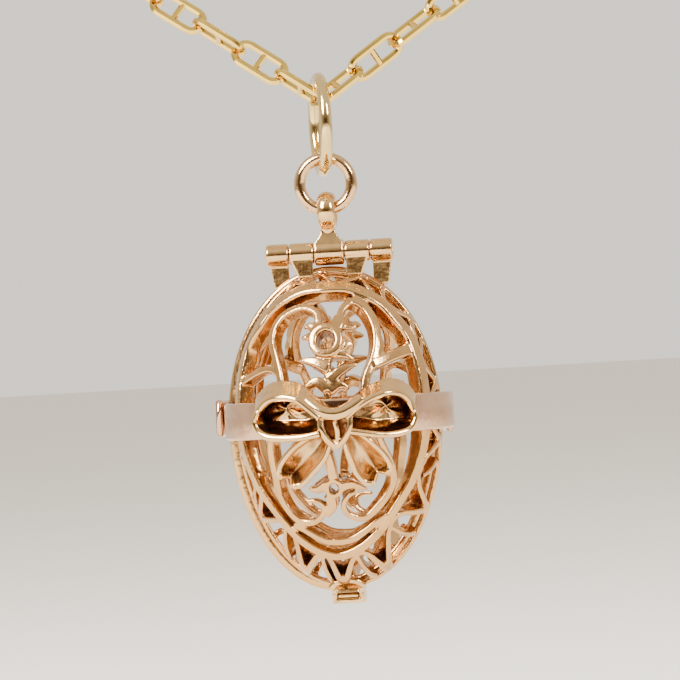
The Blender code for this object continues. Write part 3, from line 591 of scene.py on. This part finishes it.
def rounded_ring(line, width, depth):
    """A closed bar along a line in the XZ plane: width in that plane, depth along Y."""
    rows = []
    count = len(line)
    for index, point in enumerate(line):
        along = (line[(index + 1) % count] - line[index - 1]).normalized()
        outward = along.cross(Vector((0.0, 1.0, 0.0))).normalized()
        row = []
        for step in range(16):
            turn = 2.0 * math.pi * step / 16
            # a power under 1 draws the circle out towards a square with rounded corners
            across = math.copysign(abs(math.cos(turn)) ** 0.6, math.cos(turn)) * width / 2.0
            through = math.copysign(abs(math.sin(turn)) ** 0.6, math.sin(turn)) * depth / 2.0
            row.append(point + outward * across + Vector((0.0, through, 0.0)))
        rows.append(row)
    return joined_rows(rows, True)


def border(side, rim_width, rim_depth):
    """Rim and swags, fused in one casting."""
    points = [round_egg(degrees, 1.0, side) for degrees in range(0, 360, 3)]
    rim = [Vector((p.x, side * (0.02 + rim_depth / 2.0), p.z)) for p in points]
    pieces = [rounded_ring(rim, rim_width, rim_depth)]
    pieces.append(ribs(swags(side), 0.4, 1.0, 0.08, 0.08))
    return fused(pieces, BORDER_CELL[side], 2)


# %% [markdown]
# Both halves come from the same casting; the back one is turned round, has a heavier rim
# and leans a little.

# %% Cast the two halves
# label, side, rim width, rim depth, home
HALVES = [("front", -1, 0.36, 0.5, TO_WORLD), ("back", 1, 0.75, 0.8, LEANING)]
for label, side, rim_width, rim_depth, home in HALVES:
    edging, scrolls = border(side, rim_width, rim_depth), panel(side)
    unmoved = edging.copy()
    place(edging, f"{label}_border_cast", f"{label}_half", "rose_gold_casting", rose_cast,
          [f"{label}_lattice_border"], home, [scrolls])
    place(scrolls, f"{label}_scroll_cast", f"{label}_half", "rose_gold_casting", rose_cast,
          [f"{label}_scroll_panel"], home, [unmoved])

# %% [markdown]
# ## Swept and turned shapes
#
# The rest of the jewellery is wire, strip and turned knuckles. Each is a row of
# cross-sections joined by faces, as the rim was, so the same helper makes nearly all of them.

# %% Sweeping
def rounded_section(width, height, corner, steps=3):
    """A rounded rectangle as (across, outward) pairs."""
    points = []
    for start, (sx, sy) in zip((0, 90, 180, 270), ((1, 1), (-1, 1), (-1, -1), (1, -1))):
        for step in range(steps + 1):
            turn = math.radians(start + 90.0 * step / steps)
            points.append((sx * (width / 2.0 - corner) + corner * math.cos(turn),
                           sy * (height / 2.0 - corner) + corner * math.sin(turn)))
    return points


def round_section(across, outward=None, steps=24):
    """An ellipse as (across, outward) pairs, from its two half axes."""
    outward = across if outward is None else outward
    turns = [2.0 * math.pi * step / steps for step in range(steps)]
    return [(across * math.cos(t), outward * math.sin(t)) for t in turns]


def swept(line, outs, section, closed=False, scales=None):
    """The section moved along a line; outs give its outward direction at each point."""
    rows = []
    count = len(line)
    for index, point in enumerate(line):
        ahead = line[(index + 1) % count] if closed else line[min(index + 1, count - 1)]
        behind = line[index - 1] if closed or index else line[0]
        along = (ahead - behind).normalized()
        outward = (outs[index] - along * outs[index].dot(along)).normalized()
        across = along.cross(outward)
        size = scales[index] if scales else 1.0
        rows.append([point + (across * p + outward * q) * size for p, q in section])
    return joined_rows(rows, closed)


def circle(radius, centre, plane, steps=96, start=0.0, end=360.0):
    """Points round a circle, and the outward direction at each."""
    full = end - start >= 360.0
    first = Vector((1.0, 0.0, 0.0)) if plane[0] == "X" else Vector((0.0, 1.0, 0.0))
    second = Vector((0.0, 0.0, 1.0)) if plane[1] == "Z" else Vector((0.0, 1.0, 0.0))
    outs = []
    for step in range(steps if full else steps + 1):
        turn = math.radians(start + (end - start) * step / steps)
        outs.append(first * math.cos(turn) + second * math.sin(turn))
    return [Vector(centre) + out * radius for out in outs], outs


def ring(radius, centre, plane, section, steps=96):
    """A closed ring whose centre line has this radius."""
    points, outs = circle(radius, centre, plane, steps)
    return swept(points, outs, section, closed=True)


def turned(profile, steps=64):
    """A closed (x, radius) profile turned about the X axis."""
    rows = []
    for step in range(steps):
        turn = 2.0 * math.pi * step / steps
        rows.append([Vector((x, r * math.cos(turn), r * math.sin(turn))) for x, r in profile])
    return joined_rows(rows, True)


def block(sections):
    """A solid through level rectangles given as (z, x low, x high, y low, y high)."""
    return joined_rows([[Vector((x0, y0, z)), Vector((x1, y0, z)), Vector((x1, y1, z)),
                         Vector((x0, y1, z))] for z, x0, x1, y0, y1 in sections], False)


def rod(points, radius, scales=None, steps=20):
    """A round wire through the points, with its width scaled along the way."""
    points = [Vector(point) for point in points]
    steady = Vector((0.31, 0.52, 0.79))      # along none of the wires made here
    return swept(points, [steady] * len(points), round_section(radius, steps=steps), scales=scales)


# %% [markdown]
# ## Girdle bands
#
# A plain polished strip goes round the waist of each half. The back one stands a little
# further out, so its ends show beside the front one.

# %% Girdle
STRIP = rounded_section(2.3, 0.42, 0.16, 5)
STRIP_STEPS = 72


def girdle(side, step_out):
    """A half-round strip with softly rounded edges."""
    wide, deep = EGG.x + 0.67 + step_out, EGG.y + 0.67 + step_out
    line, outs = [], []
    for step in range(STRIP_STEPS + 1):
        turn = math.radians(0.2 + 179.6 * step / STRIP_STEPS)
        line.append(Vector((wide * math.cos(turn), side * deep * math.sin(turn), WAIST)))
        outs.append(Vector((math.cos(turn) / wide, side * math.sin(turn) / deep, 0.0)))
    return swept(line, outs, STRIP)


place(girdle(-1, 0.0), "front_girdle_strip", "front_half", "rose_gold_band", rose_band,
      ["front_girdle_band"])
place(girdle(1, 0.25), "back_girdle_strip", "back_half", "rose_gold_band", rose_band,
      ["back_girdle_band"], LEANING)

# %% [markdown]
# ## Hinge
#
# Five knuckles share one pin: the collar in the middle carries the eye, the next pair
# belongs to the front half and the outer pair to the back half.

# %% Knuckles and pin
FINE_CELL = 0.045                        # cell size of the small castings


def knuckle_tube(low, high, outer=0.7, bore=0.32, edge=0.1):
    """A turned tube along X with rounded edges."""
    return turned([(low, bore), (low, outer - edge), (low + edge * 0.3, outer - edge * 0.3),
                   (low + edge, outer), (high - edge, outer),
                   (high - edge * 0.3, outer - edge * 0.3), (high, outer - edge), (high, bore)])


# label, near and far end, side, body, the leaf's foot and how far it leans outwards
KNUCKLES = [("front_knuckle", 0.97, 2.52, -1, "front_half", -1.5, 0.45),
            ("back_knuckle", 2.56, 3.96, 1, "back_half", -2.15, 0.3)]
for label, near, far, side, body, foot, leaning in KNUCKLES:
    for hand, side_name in ((-1, "left"), (1, "right")):
        low, high = sorted((hand * near, hand * far))
        inside, outside = sorted((side * 0.3, side * 0.62))
        inset = low + 0.08, high - 0.08
        shift = leaning * hand
        leaf = block([(foot, inset[0] + max(0.0, -shift), inset[1] - max(0.0, shift),
                       inside, outside),
                      (-0.35, inset[0], inset[1], inside, outside)])
        place(fused([knuckle_tube(low, high), leaf], FINE_CELL, 3), f"{label}_{side_name}_cast",
              body, "rose_gold_casting", rose_bow, [f"{label}_{side_name}"])

pin = turned([(-3.82, 0.0001), (-3.86, 0.15), (-3.8, 0.25), (-3.72, 0.28), (3.72, 0.28),
              (3.8, 0.25), (3.86, 0.15), (3.82, 0.0001)], 32)
place(pin, "hinge_pin_wire", "back_half", "rose_gold_hinge", rose_wire, ["hinge_pin"])

# %% [markdown]
# The hanger grows out of the collar: broad square shoulders, a waist with a drop of solder
# and a strap-like eye.

# %% Hanger
shoulders = block([(0.4, -0.93, 0.93, -0.66, 0.66), (0.62, -0.88, 0.88, -0.6, 0.6),
                   (0.95, -0.62, 0.62, -0.5, 0.5), (1.25, -0.46, 0.46, -0.42, 0.42),
                   (1.6, -0.4, 0.4, -0.4, 0.4)])
drop = bmesh.new()
bmesh.ops.create_uvsphere(drop, u_segments=24, v_segments=16, radius=0.42)
bmesh.ops.translate(drop, vec=(0.0, -0.1, 1.45), verts=drop.verts)
solder = finished(drop, "solder")
eye = ring(0.875, (0.0, 0.0, 2.58), "YZ", round_section(0.56, 0.37))
hanger = fused([knuckle_tube(-0.93, 0.93, 0.8, 0.32, 0.12), shoulders, solder, eye], FINE_CELL, 3)
place(hanger, "hanger_cast", "hanger", "rose_gold_hinge", rose_bow,
      ["hanger_collar", "hanger_eye"])

# %% [markdown]
# ## Two rings
#
# The jump ring hangs face on through the hanger's eye. The bail ring is edge on and lets
# the chain run through; it has settled a little to one side.

# %% Jump ring and bail ring
place(ring(1.625, (0.0, 0.0, 4.29), "XZ", round_section(0.365)), "jump_ring_wire", "jump_ring",
      "rose_gold_wire", rose_wire, ["jump_ring"])
SETTLED = (TO_WORLD @ Matrix.Translation((-0.1, -0.05, 0.0))
           @ Matrix.Rotation(math.radians(12.0), 4, "Z"))
place(ring(2.9, (0.0, 0.0, 8.0), "YZ", round_section(0.385), 128), "bail_ring_wire", "bail_ring",
      "pale_gold_wire", pale_wire, ["bail_ring"], SETTLED)

# %% [markdown]
# ## Catch
#
# At the bottom a sleeve on the front half, with a curled lip, slips over a tongue on the
# back half.

# %% Catch
CATCH_TOP = -20.94
front_face, wall = -1.1, 0.3


def upright(low, high, *sides):
    """A block between two depths under the catch's top."""
    return block([(CATCH_TOP - low, *sides), (CATCH_TOP - high, *sides)])


sleeve = [upright(0.95, 0.65, -1.0, 1.0, front_face, -0.02),
          block([(CATCH_TOP - wall, -1.0, 1.0, front_face, -0.02),
                 (CATCH_TOP + 0.2, -0.8, 0.8, -0.9, -0.02)]),
          upright(0.9, 0.0, -1.0, -0.7, front_face, -0.02),
          upright(0.9, 0.0, 0.7, 1.0, front_face, -0.02)]
lip = [(-1.05, -1.0, -20.95), (-0.7, -1.15, -20.6), (-0.1, -1.25, -20.45), (0.5, -1.2, -20.5),
       (1.05, -1.0, -20.85)]
sleeve.append(rod(smooth(lip, 6), 0.24))
place(fused(sleeve, FINE_CELL, 3), "catch_sleeve_cast", "front_half", "rose_gold_casting", rose_bow,
      ["front_catch_sleeve"])
tongue = [upright(0.57, 0.38, -0.62, 0.62, -1.22, 0.4), upright(0.95, 0.0, -1.0, 1.0, 0.03, 0.8)]
place(fused(tongue, FINE_CELL, 2), "catch_tongue_cast", "back_half", "rose_gold_casting", rose_bow,
      ["back_catch_tongue"])

# %% [markdown]
# ## Bow
#
# The loops are ribbons whose front edge sits lower than the back edge, so from the front
# the top shows its outer face and the bottom its inner one. The tails are cupped: their
# edges come forward and the middle folds back.

# %% Bow
def band_front(x):
    """The front band's outer face at x."""
    return -6.68 * math.sqrt(max(0.0, 1.0 - (x / 7.18) ** 2))


def bow_loop(route, thickness, width, drop_by):
    """A ribbon loop through (x, z) points that leans forward and down."""
    flat = smooth(route, 8)
    outs = [Vector((0.0, -1.0, -drop_by))] * len(flat)
    line = [Vector((x, band_front(abs(x) - 0.3) - 0.06 - width / 2.0, z)) for x, z in flat]
    stretch = math.sqrt(1.0 + drop_by ** 2)
    section = [(p * (1.25 - 0.6 * abs(q) / width), q * stretch)
               for q, p in rounded_section(width, thickness, thickness * 0.49, 5)]
    return swept(line, outs, section)


LEFT_LOOP = [(-0.3, -9.95), (-1.1, -9.2), (-1.85, -8.6), (-2.8, -8.4), (-3.7, -8.6),
             (-4.35, -9.3), (-4.3, -10.2), (-3.7, -10.75), (-2.7, -10.9), (-1.6, -10.9),
             (-0.6, -10.75)]
RIGHT_LOOP = [(1.05, -9.95), (1.85, -9.3), (2.75, -8.8), (3.7, -8.55), (4.5, -8.75),
              (5.0, -9.4), (5.05, -10.2), (4.7, -10.8), (4.1, -11.05), (3.2, -11.1),
              (2.25, -10.95), (1.2, -10.75)]
KNOT_Y = -7.85
knot = [rod(smooth([(-1.3, KNOT_Y + 0.3, -9.1), (-0.6, KNOT_Y, -9.65),
                    (0.05, KNOT_Y - 0.15, -9.95), (0.75, KNOT_Y - 0.15, -9.95),
                    (1.4, KNOT_Y, -9.65), (2.1, KNOT_Y + 0.3, -9.15)], 8), 0.42),
        rod(smooth([(-0.5, KNOT_Y + 0.1, -10.0), (-0.42, KNOT_Y - 0.05, -10.9),
                    (-0.1, KNOT_Y + 0.05, -11.55), (0.35, KNOT_Y + 0.35, -12.0)], 8), 0.24),
        rod(smooth([(1.3, KNOT_Y, -10.0), (1.3, KNOT_Y - 0.1, -10.8), (0.95, KNOT_Y, -11.5),
                    (0.42, KNOT_Y + 0.35, -12.0)], 8), 0.2),
        rod(smooth([(0.35, KNOT_Y + 0.1, -10.3), (0.5, KNOT_Y + 0.15, -11.1),
                    (0.4, KNOT_Y + 0.4, -11.8)], 8), 0.2),
        block([(-12.0, 0.1, 0.7, KNOT_Y + 0.5, -6.75), (-11.0, -0.4, 1.2, KNOT_Y + 0.35, -6.75),
               (-10.0, -0.5, 1.35, KNOT_Y + 0.35, -6.75)])]


def loop_floor(route, depth):
    """The folded inside of a loop: a ridged sheet across its back."""
    flat = smooth(route, 4)
    middle_x = sum(x for x, z in flat) / len(flat)
    middle_z = sum(z for x, z in flat) / len(flat) + 0.25
    rows = []
    for share in (0.02, 0.35, 0.7, 0.97):
        row = []
        for index, (x, z) in enumerate(flat):
            ridge = 0.16 * math.sin(index * 0.55 + share * 3.0) * (1.0 - share)
            at_x = middle_x + (x - middle_x) * share
            at_z = middle_z + (z + 0.25 - middle_z) * share
            row.append(Vector((at_x, band_front(abs(at_x)) - depth + ridge, at_z)))
        rows.append(row)
    behind = [Vector((point.x, point.y + 0.15, point.z)) for point in rows[-1]]
    centre = [Vector((point.x, point.y + 0.15, point.z)) for point in rows[0]]
    return joined_rows([*rows, behind, centre], True)


def bow_tail(spine, widths, cup, lift):
    """A ribbon end, cupped to the front; spine points are x, z and height over the skin."""
    flat = smooth([(*point, width) for point, width in zip(spine, widths)], 8)
    middle = [on_egg(x, z, -1, lift + depth) for x, z, depth, _ in flat]
    rows = []
    for index, centre in enumerate(middle):
        along = (middle[min(index + 1, len(middle) - 1)] - middle[max(index - 1, 0)]).normalized()
        across = along.cross(Vector((0.0, -1.0, 0.0))).normalized()
        forward_side = across.cross(along)
        half = flat[index][3] / 2.0
        share = index / (len(middle) - 1)
        row = []
        for step in range(-8, 9):
            place_across = step / 8.0
            bend = cup * (0.35 + 0.65 * share) * (abs(place_across) ** 1.3)
            row.append(centre + across * half * place_across + forward_side * bend)
        back = [point - forward_side * 0.4 for point in reversed(row)]
        rows.append(row + back)
    beads = [rod([row[0] for row in rows], 0.2), rod([row[16] for row in rows], 0.2),
             rod(rows[-1][:17], 0.2)]
    return [joined_rows(rows, False), *beads]


left_tail = bow_tail([(-0.25, -11.2, 0.8), (-0.8, -11.9, 0.7), (-1.5, -12.6, 0.5),
                      (-2.0, -13.15, 0.4), (-2.2, -13.4, 0.35)],
                     (0.9, 1.7, 1.9, 1.7, 1.0), 1.0, 0.7)
right_tail = bow_tail([(1.0, -11.2, 0.8), (1.4, -11.9, 0.7), (1.8, -12.6, 0.5),
                       (2.15, -13.2, 0.4), (2.3, -13.45, 0.35)],
                      (0.9, 1.6, 2.0, 1.9, 1.2), 1.0, 0.7)
LEFT_BOW = [bow_loop(LEFT_LOOP, 0.46, 1.5, 0.7), loop_floor(LEFT_LOOP, 0.35)]
RIGHT_BOW = [bow_loop(RIGHT_LOOP, 0.42, 1.4, 0.6), loop_floor(RIGHT_LOOP, 0.35)]
bow_parts = [(LEFT_BOW, "bow_loop_left_ribbon", "bow_loop_left"),
             (RIGHT_BOW, "bow_loop_right_ribbon", "bow_loop_right"),
             (left_tail, "bow_tail_left_ribbon", "bow_tail_left"),
             (right_tail, "bow_tail_right_ribbon", "bow_tail_right"),
             (knot, "bow_knot_folds", "bow_knot")]
bow_shapes = [fused(meshes, 0.05, 4) for meshes, label, node in bow_parts]
whole_bow = [shape.copy() for shape in bow_shapes]
for shape, (meshes, label, node) in zip(bow_shapes, bow_parts):
    place(shape, label, "front_half", "rose_gold_bow", rose_bow, [node], others=whole_bow)

# %% [markdown]
# ## Anchor chain
#
# A node tree walks along each side's path, sets a link at every step and gives every
# second link a different roll, which is how real links thread through each other.

# %% One link
# the chain and the clasp are drawn from the clasp's middle, where the necklace begins
FROM_CLASP = Matrix.Scale(MM, 4)
LINK = (4.0, 1.86, 0.22)                 # length, width, half the wire's thickness
PITCH = 3.08                             # from one link's middle to the next
ROLLS = {"First roll": math.radians(-65.0), "Second roll": math.radians(27.0)}


def link_mesh():
    """A link with flat cut faces and a bar across its middle."""
    end = LINK[1] / 2.0 - LINK[2]
    reach = LINK[0] / 2.0 - LINK[2] - end
    right_end, right_outs = circle(end, (reach, 0.0, 0.0), "XZ", 8, -90.0, 90.0)
    left_end, left_outs = circle(end, (-reach, 0.0, 0.0), "XZ", 8, 90.0, 270.0)
    flat_cut = rounded_section(0.46, 0.45, 0.13, 1)
    loop = swept(right_end + left_end, right_outs + left_outs, flat_cut, closed=True)
    bar = swept([Vector((0.0, 0.0, -end)), Vector((0.0, 0.0, end))],
                [Vector((0.0, 1.0, 0.0))] * 2, rounded_section(0.38, 0.38, 0.08, 1))
    return joined([loop, bar], "anchor_link")


# %% Node tree for the chain
def chain_tree():
    """Sets links along a path, evenly spaced, with two rolls that take turns."""
    tree, given = new_tree("chain links", [
        ("Path", "Geometry"), ("Link", "Object"), ("Links", "Int"), ("First roll", "Float"),
        ("Second roll", "Float"), ("Material", "Material")], "Chain")
    points = add_node(tree, "GeometryNodeCurveToPoints", {
        "Curve": given["Path"], "Count": given["Links"]}, mode="COUNT").outputs
    level = add_node(tree, "ShaderNodeVectorMath", {
        0: (0.0, 0.0, 1.0), 1: points["Tangent"]}, operation="CROSS_PRODUCT")
    facing = add_node(tree, "FunctionNodeAxesToRotation", {
        "Primary Axis": points["Tangent"], "Secondary Axis": level.outputs[0]},
        primary_axis="X", secondary_axis="Y")
    order = add_node(tree, "GeometryNodeInputIndex").outputs[0]
    second = math_node(tree, "MODULO", order, 2.0)
    difference = math_node(tree, "SUBTRACT", given["Second roll"], given["First roll"])
    roll = math_node(tree, "MULTIPLY_ADD", second, difference, given["First roll"])
    spin = add_node(tree, "FunctionNodeAxisAngleToRotation", {
        "Axis": (1.0, 0.0, 0.0), "Angle": roll})
    both = add_node(tree, "FunctionNodeRotateRotation", {
        "Rotation": facing.outputs[0], "Rotate By": spin.outputs[0]}, rotation_space="LOCAL")
    shape = add_node(tree, "GeometryNodeObjectInfo", {
        "Object": given["Link"], "As Instance": True})
    instances = add_node(tree, "GeometryNodeInstanceOnPoints", {
        "Points": points["Points"], "Instance": shape.outputs["Geometry"],
        "Rotation": both.outputs[0]})
    coat(tree, instances.outputs[0], given["Material"])
    return tree


# %% [markdown]
# Each side leaves the bail straight for the first links, where the plain model has single
# solids, then follows the neck up to the clasp.

# %% Both sides of the chain
# the way round the left of the neck, mirrored for the other side
NECK = [(22.0, -95.5, -104.5), (35.0, -90.0, -94.5), (47.0, -80.5, -82.0), (56.0, -67.0, -67.5),
        (61.0, -50.0, -52.0), (61.5, -33.0, -37.0), (56.0, -17.5, -22.5), (45.0, -6.5, -11.0),
        (30.0, -1.0, -4.0), (15.0, 0.0, -0.8)]
CROSSING = Vector((0.0, -100.0, -120.45))
# hand, name, how far the first link reaches past the crossing, its place in y, end ring's x
SIDES = [(-1, "left", 0.3, 0.0, -3.09), (1, "right", 0.45, -0.3, 6.07)]
CLIMB, RECESS = math.radians(35), math.radians(8)    # how the first links lead away
CHAIN = chain_tree()
link = added("anchor_link", link_mesh())

for hand, side_name, passes, forward_by, ring_x in SIDES:
    leaving = Vector((hand * math.cos(CLIMB) * math.cos(RECESS), math.sin(RECESS),
                      math.sin(CLIMB) * math.cos(RECESS)))
    first = (CROSSING + Vector((0.0, forward_by, 0.0))
             + leaving * (LINK[0] / 2.0 - LINK[2] - passes))
    route = [tuple(first + leaving * PITCH * number) for number in range(5)]
    route += [(hand * x, y, z) for x, y, z in NECK]
    route += [(ring_x + hand * 6.5, 0.0, 0.0), (ring_x + hand * 2.62, 0.0, 0.0)]
    path = [Vector(point) for point in smooth(route, 12)]
    length = sum((b - a).length for a, b in zip(path, path[1:]))
    count = 2 * round((length / PITCH + 1.0) / 2.0)
    side = curve_object([(path, [1.0] * len(path), False)])
    run_tree(side, CHAIN, {"Link": link, "Links": count, "Material": yellow_cut, **ROLLS})
    nodes = [f"chain_link_{side_name}_{number}" for number in range(1, 5)]
    whole = place(baked(side), f"chain_{side_name}_links", "chain", "yellow_gold", yellow_cut,
                  nodes + [f"chain_run_{side_name}"], FROM_CLASP)
    whole.data.set_sharp_from_angle(angle=math.radians(25.0))
    print(side_name, count, "links", round(length, 1), "mm, pitch", round(length / (count - 1), 3))
bpy.data.objects.remove(link, do_unlink=True)

# %% [markdown]
# ## Clasp
#
# At the nape a bolt ring closes the chain. Its tube keeps the plain model's mouth, bore
# and slot, and only gets a finer, rounder surface.

# %% Clasp
CLASP = 2.65                             # radius of the tube's centre line
COIL_STEPS = 9 * 16                      # nine turns of the spring


def cut(base, tools):
    """The base mesh with the tools taken away."""
    obj = added("base", base)
    helpers = []
    for tool in tools:
        helper = added("tool", tool)
        modifier = obj.modifiers.new("cut", "BOOLEAN")
        modifier.operation = "DIFFERENCE"
        modifier.solver = "EXACT"
        modifier.object = helper
        helpers.append(helper)
    mesh = baked(obj)
    for helper in helpers:
        bpy.data.objects.remove(helper, do_unlink=True)
    return mesh


def bent_tube(radius, start, end, section_radius, steps):
    """A round bar bent along part of a circle about the clasp's centre."""
    points, outs = circle(radius, (0.0, 0.0, 0.0), "XZ", steps, start, end)
    return swept(points, outs, round_section(section_radius, steps=32))


tube = cut(bent_tube(CLASP, 150.0, 460.0, 0.62, 96),
           [bent_tube(CLASP, -20.0, 103.0, 0.43, 48), bent_tube(3.175, 30.0, 92.0, 0.26, 24)])
bolt_end = 149.0
tab_turn = math.radians(84.0)
tab_way = Vector((math.cos(tab_turn), 0.0, math.sin(tab_turn)))
tab = rod([tab_way * reach for reach in (CLASP, 3.4, 4.1, 4.15)], 0.18, [1.0, 1.0, 1.0, 0.7])
bolt = fused([bent_tube(CLASP, bolt_end - 72.0, bolt_end, 0.35, 48), tab], 0.035, 2)
coil = []
for step in range(COIL_STEPS + 1):
    turn = math.radians(-17.0 + 91.0 * step / COIL_STEPS)
    wind = 2.0 * math.pi * step / 16
    reach = CLASP + 0.27 * math.cos(wind)
    coil.append(Vector((reach * math.cos(turn), 0.27 * math.sin(wind), reach * math.sin(turn))))
clasp_parts = [(tube, "clasp_tube", "chain", "clasp_ring", yellow_cut),
               (bolt, "clasp_bolt_rod", "clasp_bolt", "clasp_bolt", yellow_cut),
               (rod(coil, 0.06, steps=8), "clasp_coil", "chain", "clasp_spring", steel_wire)]
for radius, x, plane, node in ((0.85, 4.41, "XZ", "clasp_loop"),
                               (1.35, -3.09, "XY", "end_ring_left"),
                               (1.35, 6.07, "XY", "end_ring_right")):
    wire = ring(radius, (x, 0.0, 0.0), plane, round_section(0.25), 64)
    clasp_parts.append((wire, f"{node}_wire", "chain", node, yellow_cut))
for mesh, label, body, node, material in clasp_parts:
    slot_name = "spring_steel" if material == steel_wire else "yellow_gold"
    piece = place(mesh, label, body, slot_name, material, [node], FROM_CLASP)
    piece.data.set_sharp_from_angle(angle=math.radians(50.0))

# %% [markdown]
# ## Studio
#
# Polished metal shows its surroundings, so the surroundings do most of the work: pale
# behind and above, dim and warm in front and below, with one bright window on the left.

# %% Floor
FLOOR_HEIGHT = -0.162
soup = bmesh.new()
bmesh.ops.create_grid(soup, x_segments=1, y_segments=1, size=3.0)
floor = added("floor", finished(soup, "floor"))
floor.location = (0.0, 0.0, FLOOR_HEIGHT)
plaster = bpy.data.materials.new("pale floor")
plaster.use_nodes = True
surface = plaster.node_tree.nodes["Principled BSDF"]
surface.inputs["Base Color"].default_value = linear("#F4EEE4")
surface.inputs["Roughness"].default_value = 0.9
floor.data.materials.append(plaster)

# %% [markdown]
# Two ramps over the direction of sight make the surroundings: one brightens towards the
# back, one towards the top, and the brighter of the two counts.

# %% Surroundings
world = bpy.data.worlds.new("studio")
bpy.context.scene.world = world
world.use_nodes = True
sky = world.node_tree
direction = add_node(sky, "ShaderNodeTexCoord").outputs["Generated"]
parts = add_node(sky, "ShaderNodeSeparateXYZ", {0: direction})
behind = ramp(sky, parts.outputs[1], -0.95, 0.15)
overhead = ramp(sky, parts.outputs[2], 0.15, 0.8)
shade = blend(sky, math_node(sky, "MAXIMUM", behind, overhead), "#4C3A2C", "#EFE8DC")
sky.links.new(shade, sky.nodes["Background"].inputs["Color"])
sky.nodes["Background"].inputs["Strength"].default_value = 1.45


def softbox(name, position, target, size, power):
    """A square area light that points at the target."""
    light = bpy.data.lights.new(name, "AREA")
    light.shape = "RECTANGLE"
    light.size, light.size_y = size
    light.energy = power
    obj = added(name, light)
    obj.location = position
    obj.rotation_euler = (Vector(target) - Vector(position)).to_track_quat("-Z", "Y").to_euler()


TARGET = PIN * MM + Vector((0.0, 0.0, -0.008))
softbox("window", (-0.2, -0.34, 0.1), TARGET, (0.16, 0.22), 5.0)
softbox("lamp", (0.26, -0.3, 0.06), TARGET, (0.06, 0.14), 1.6)
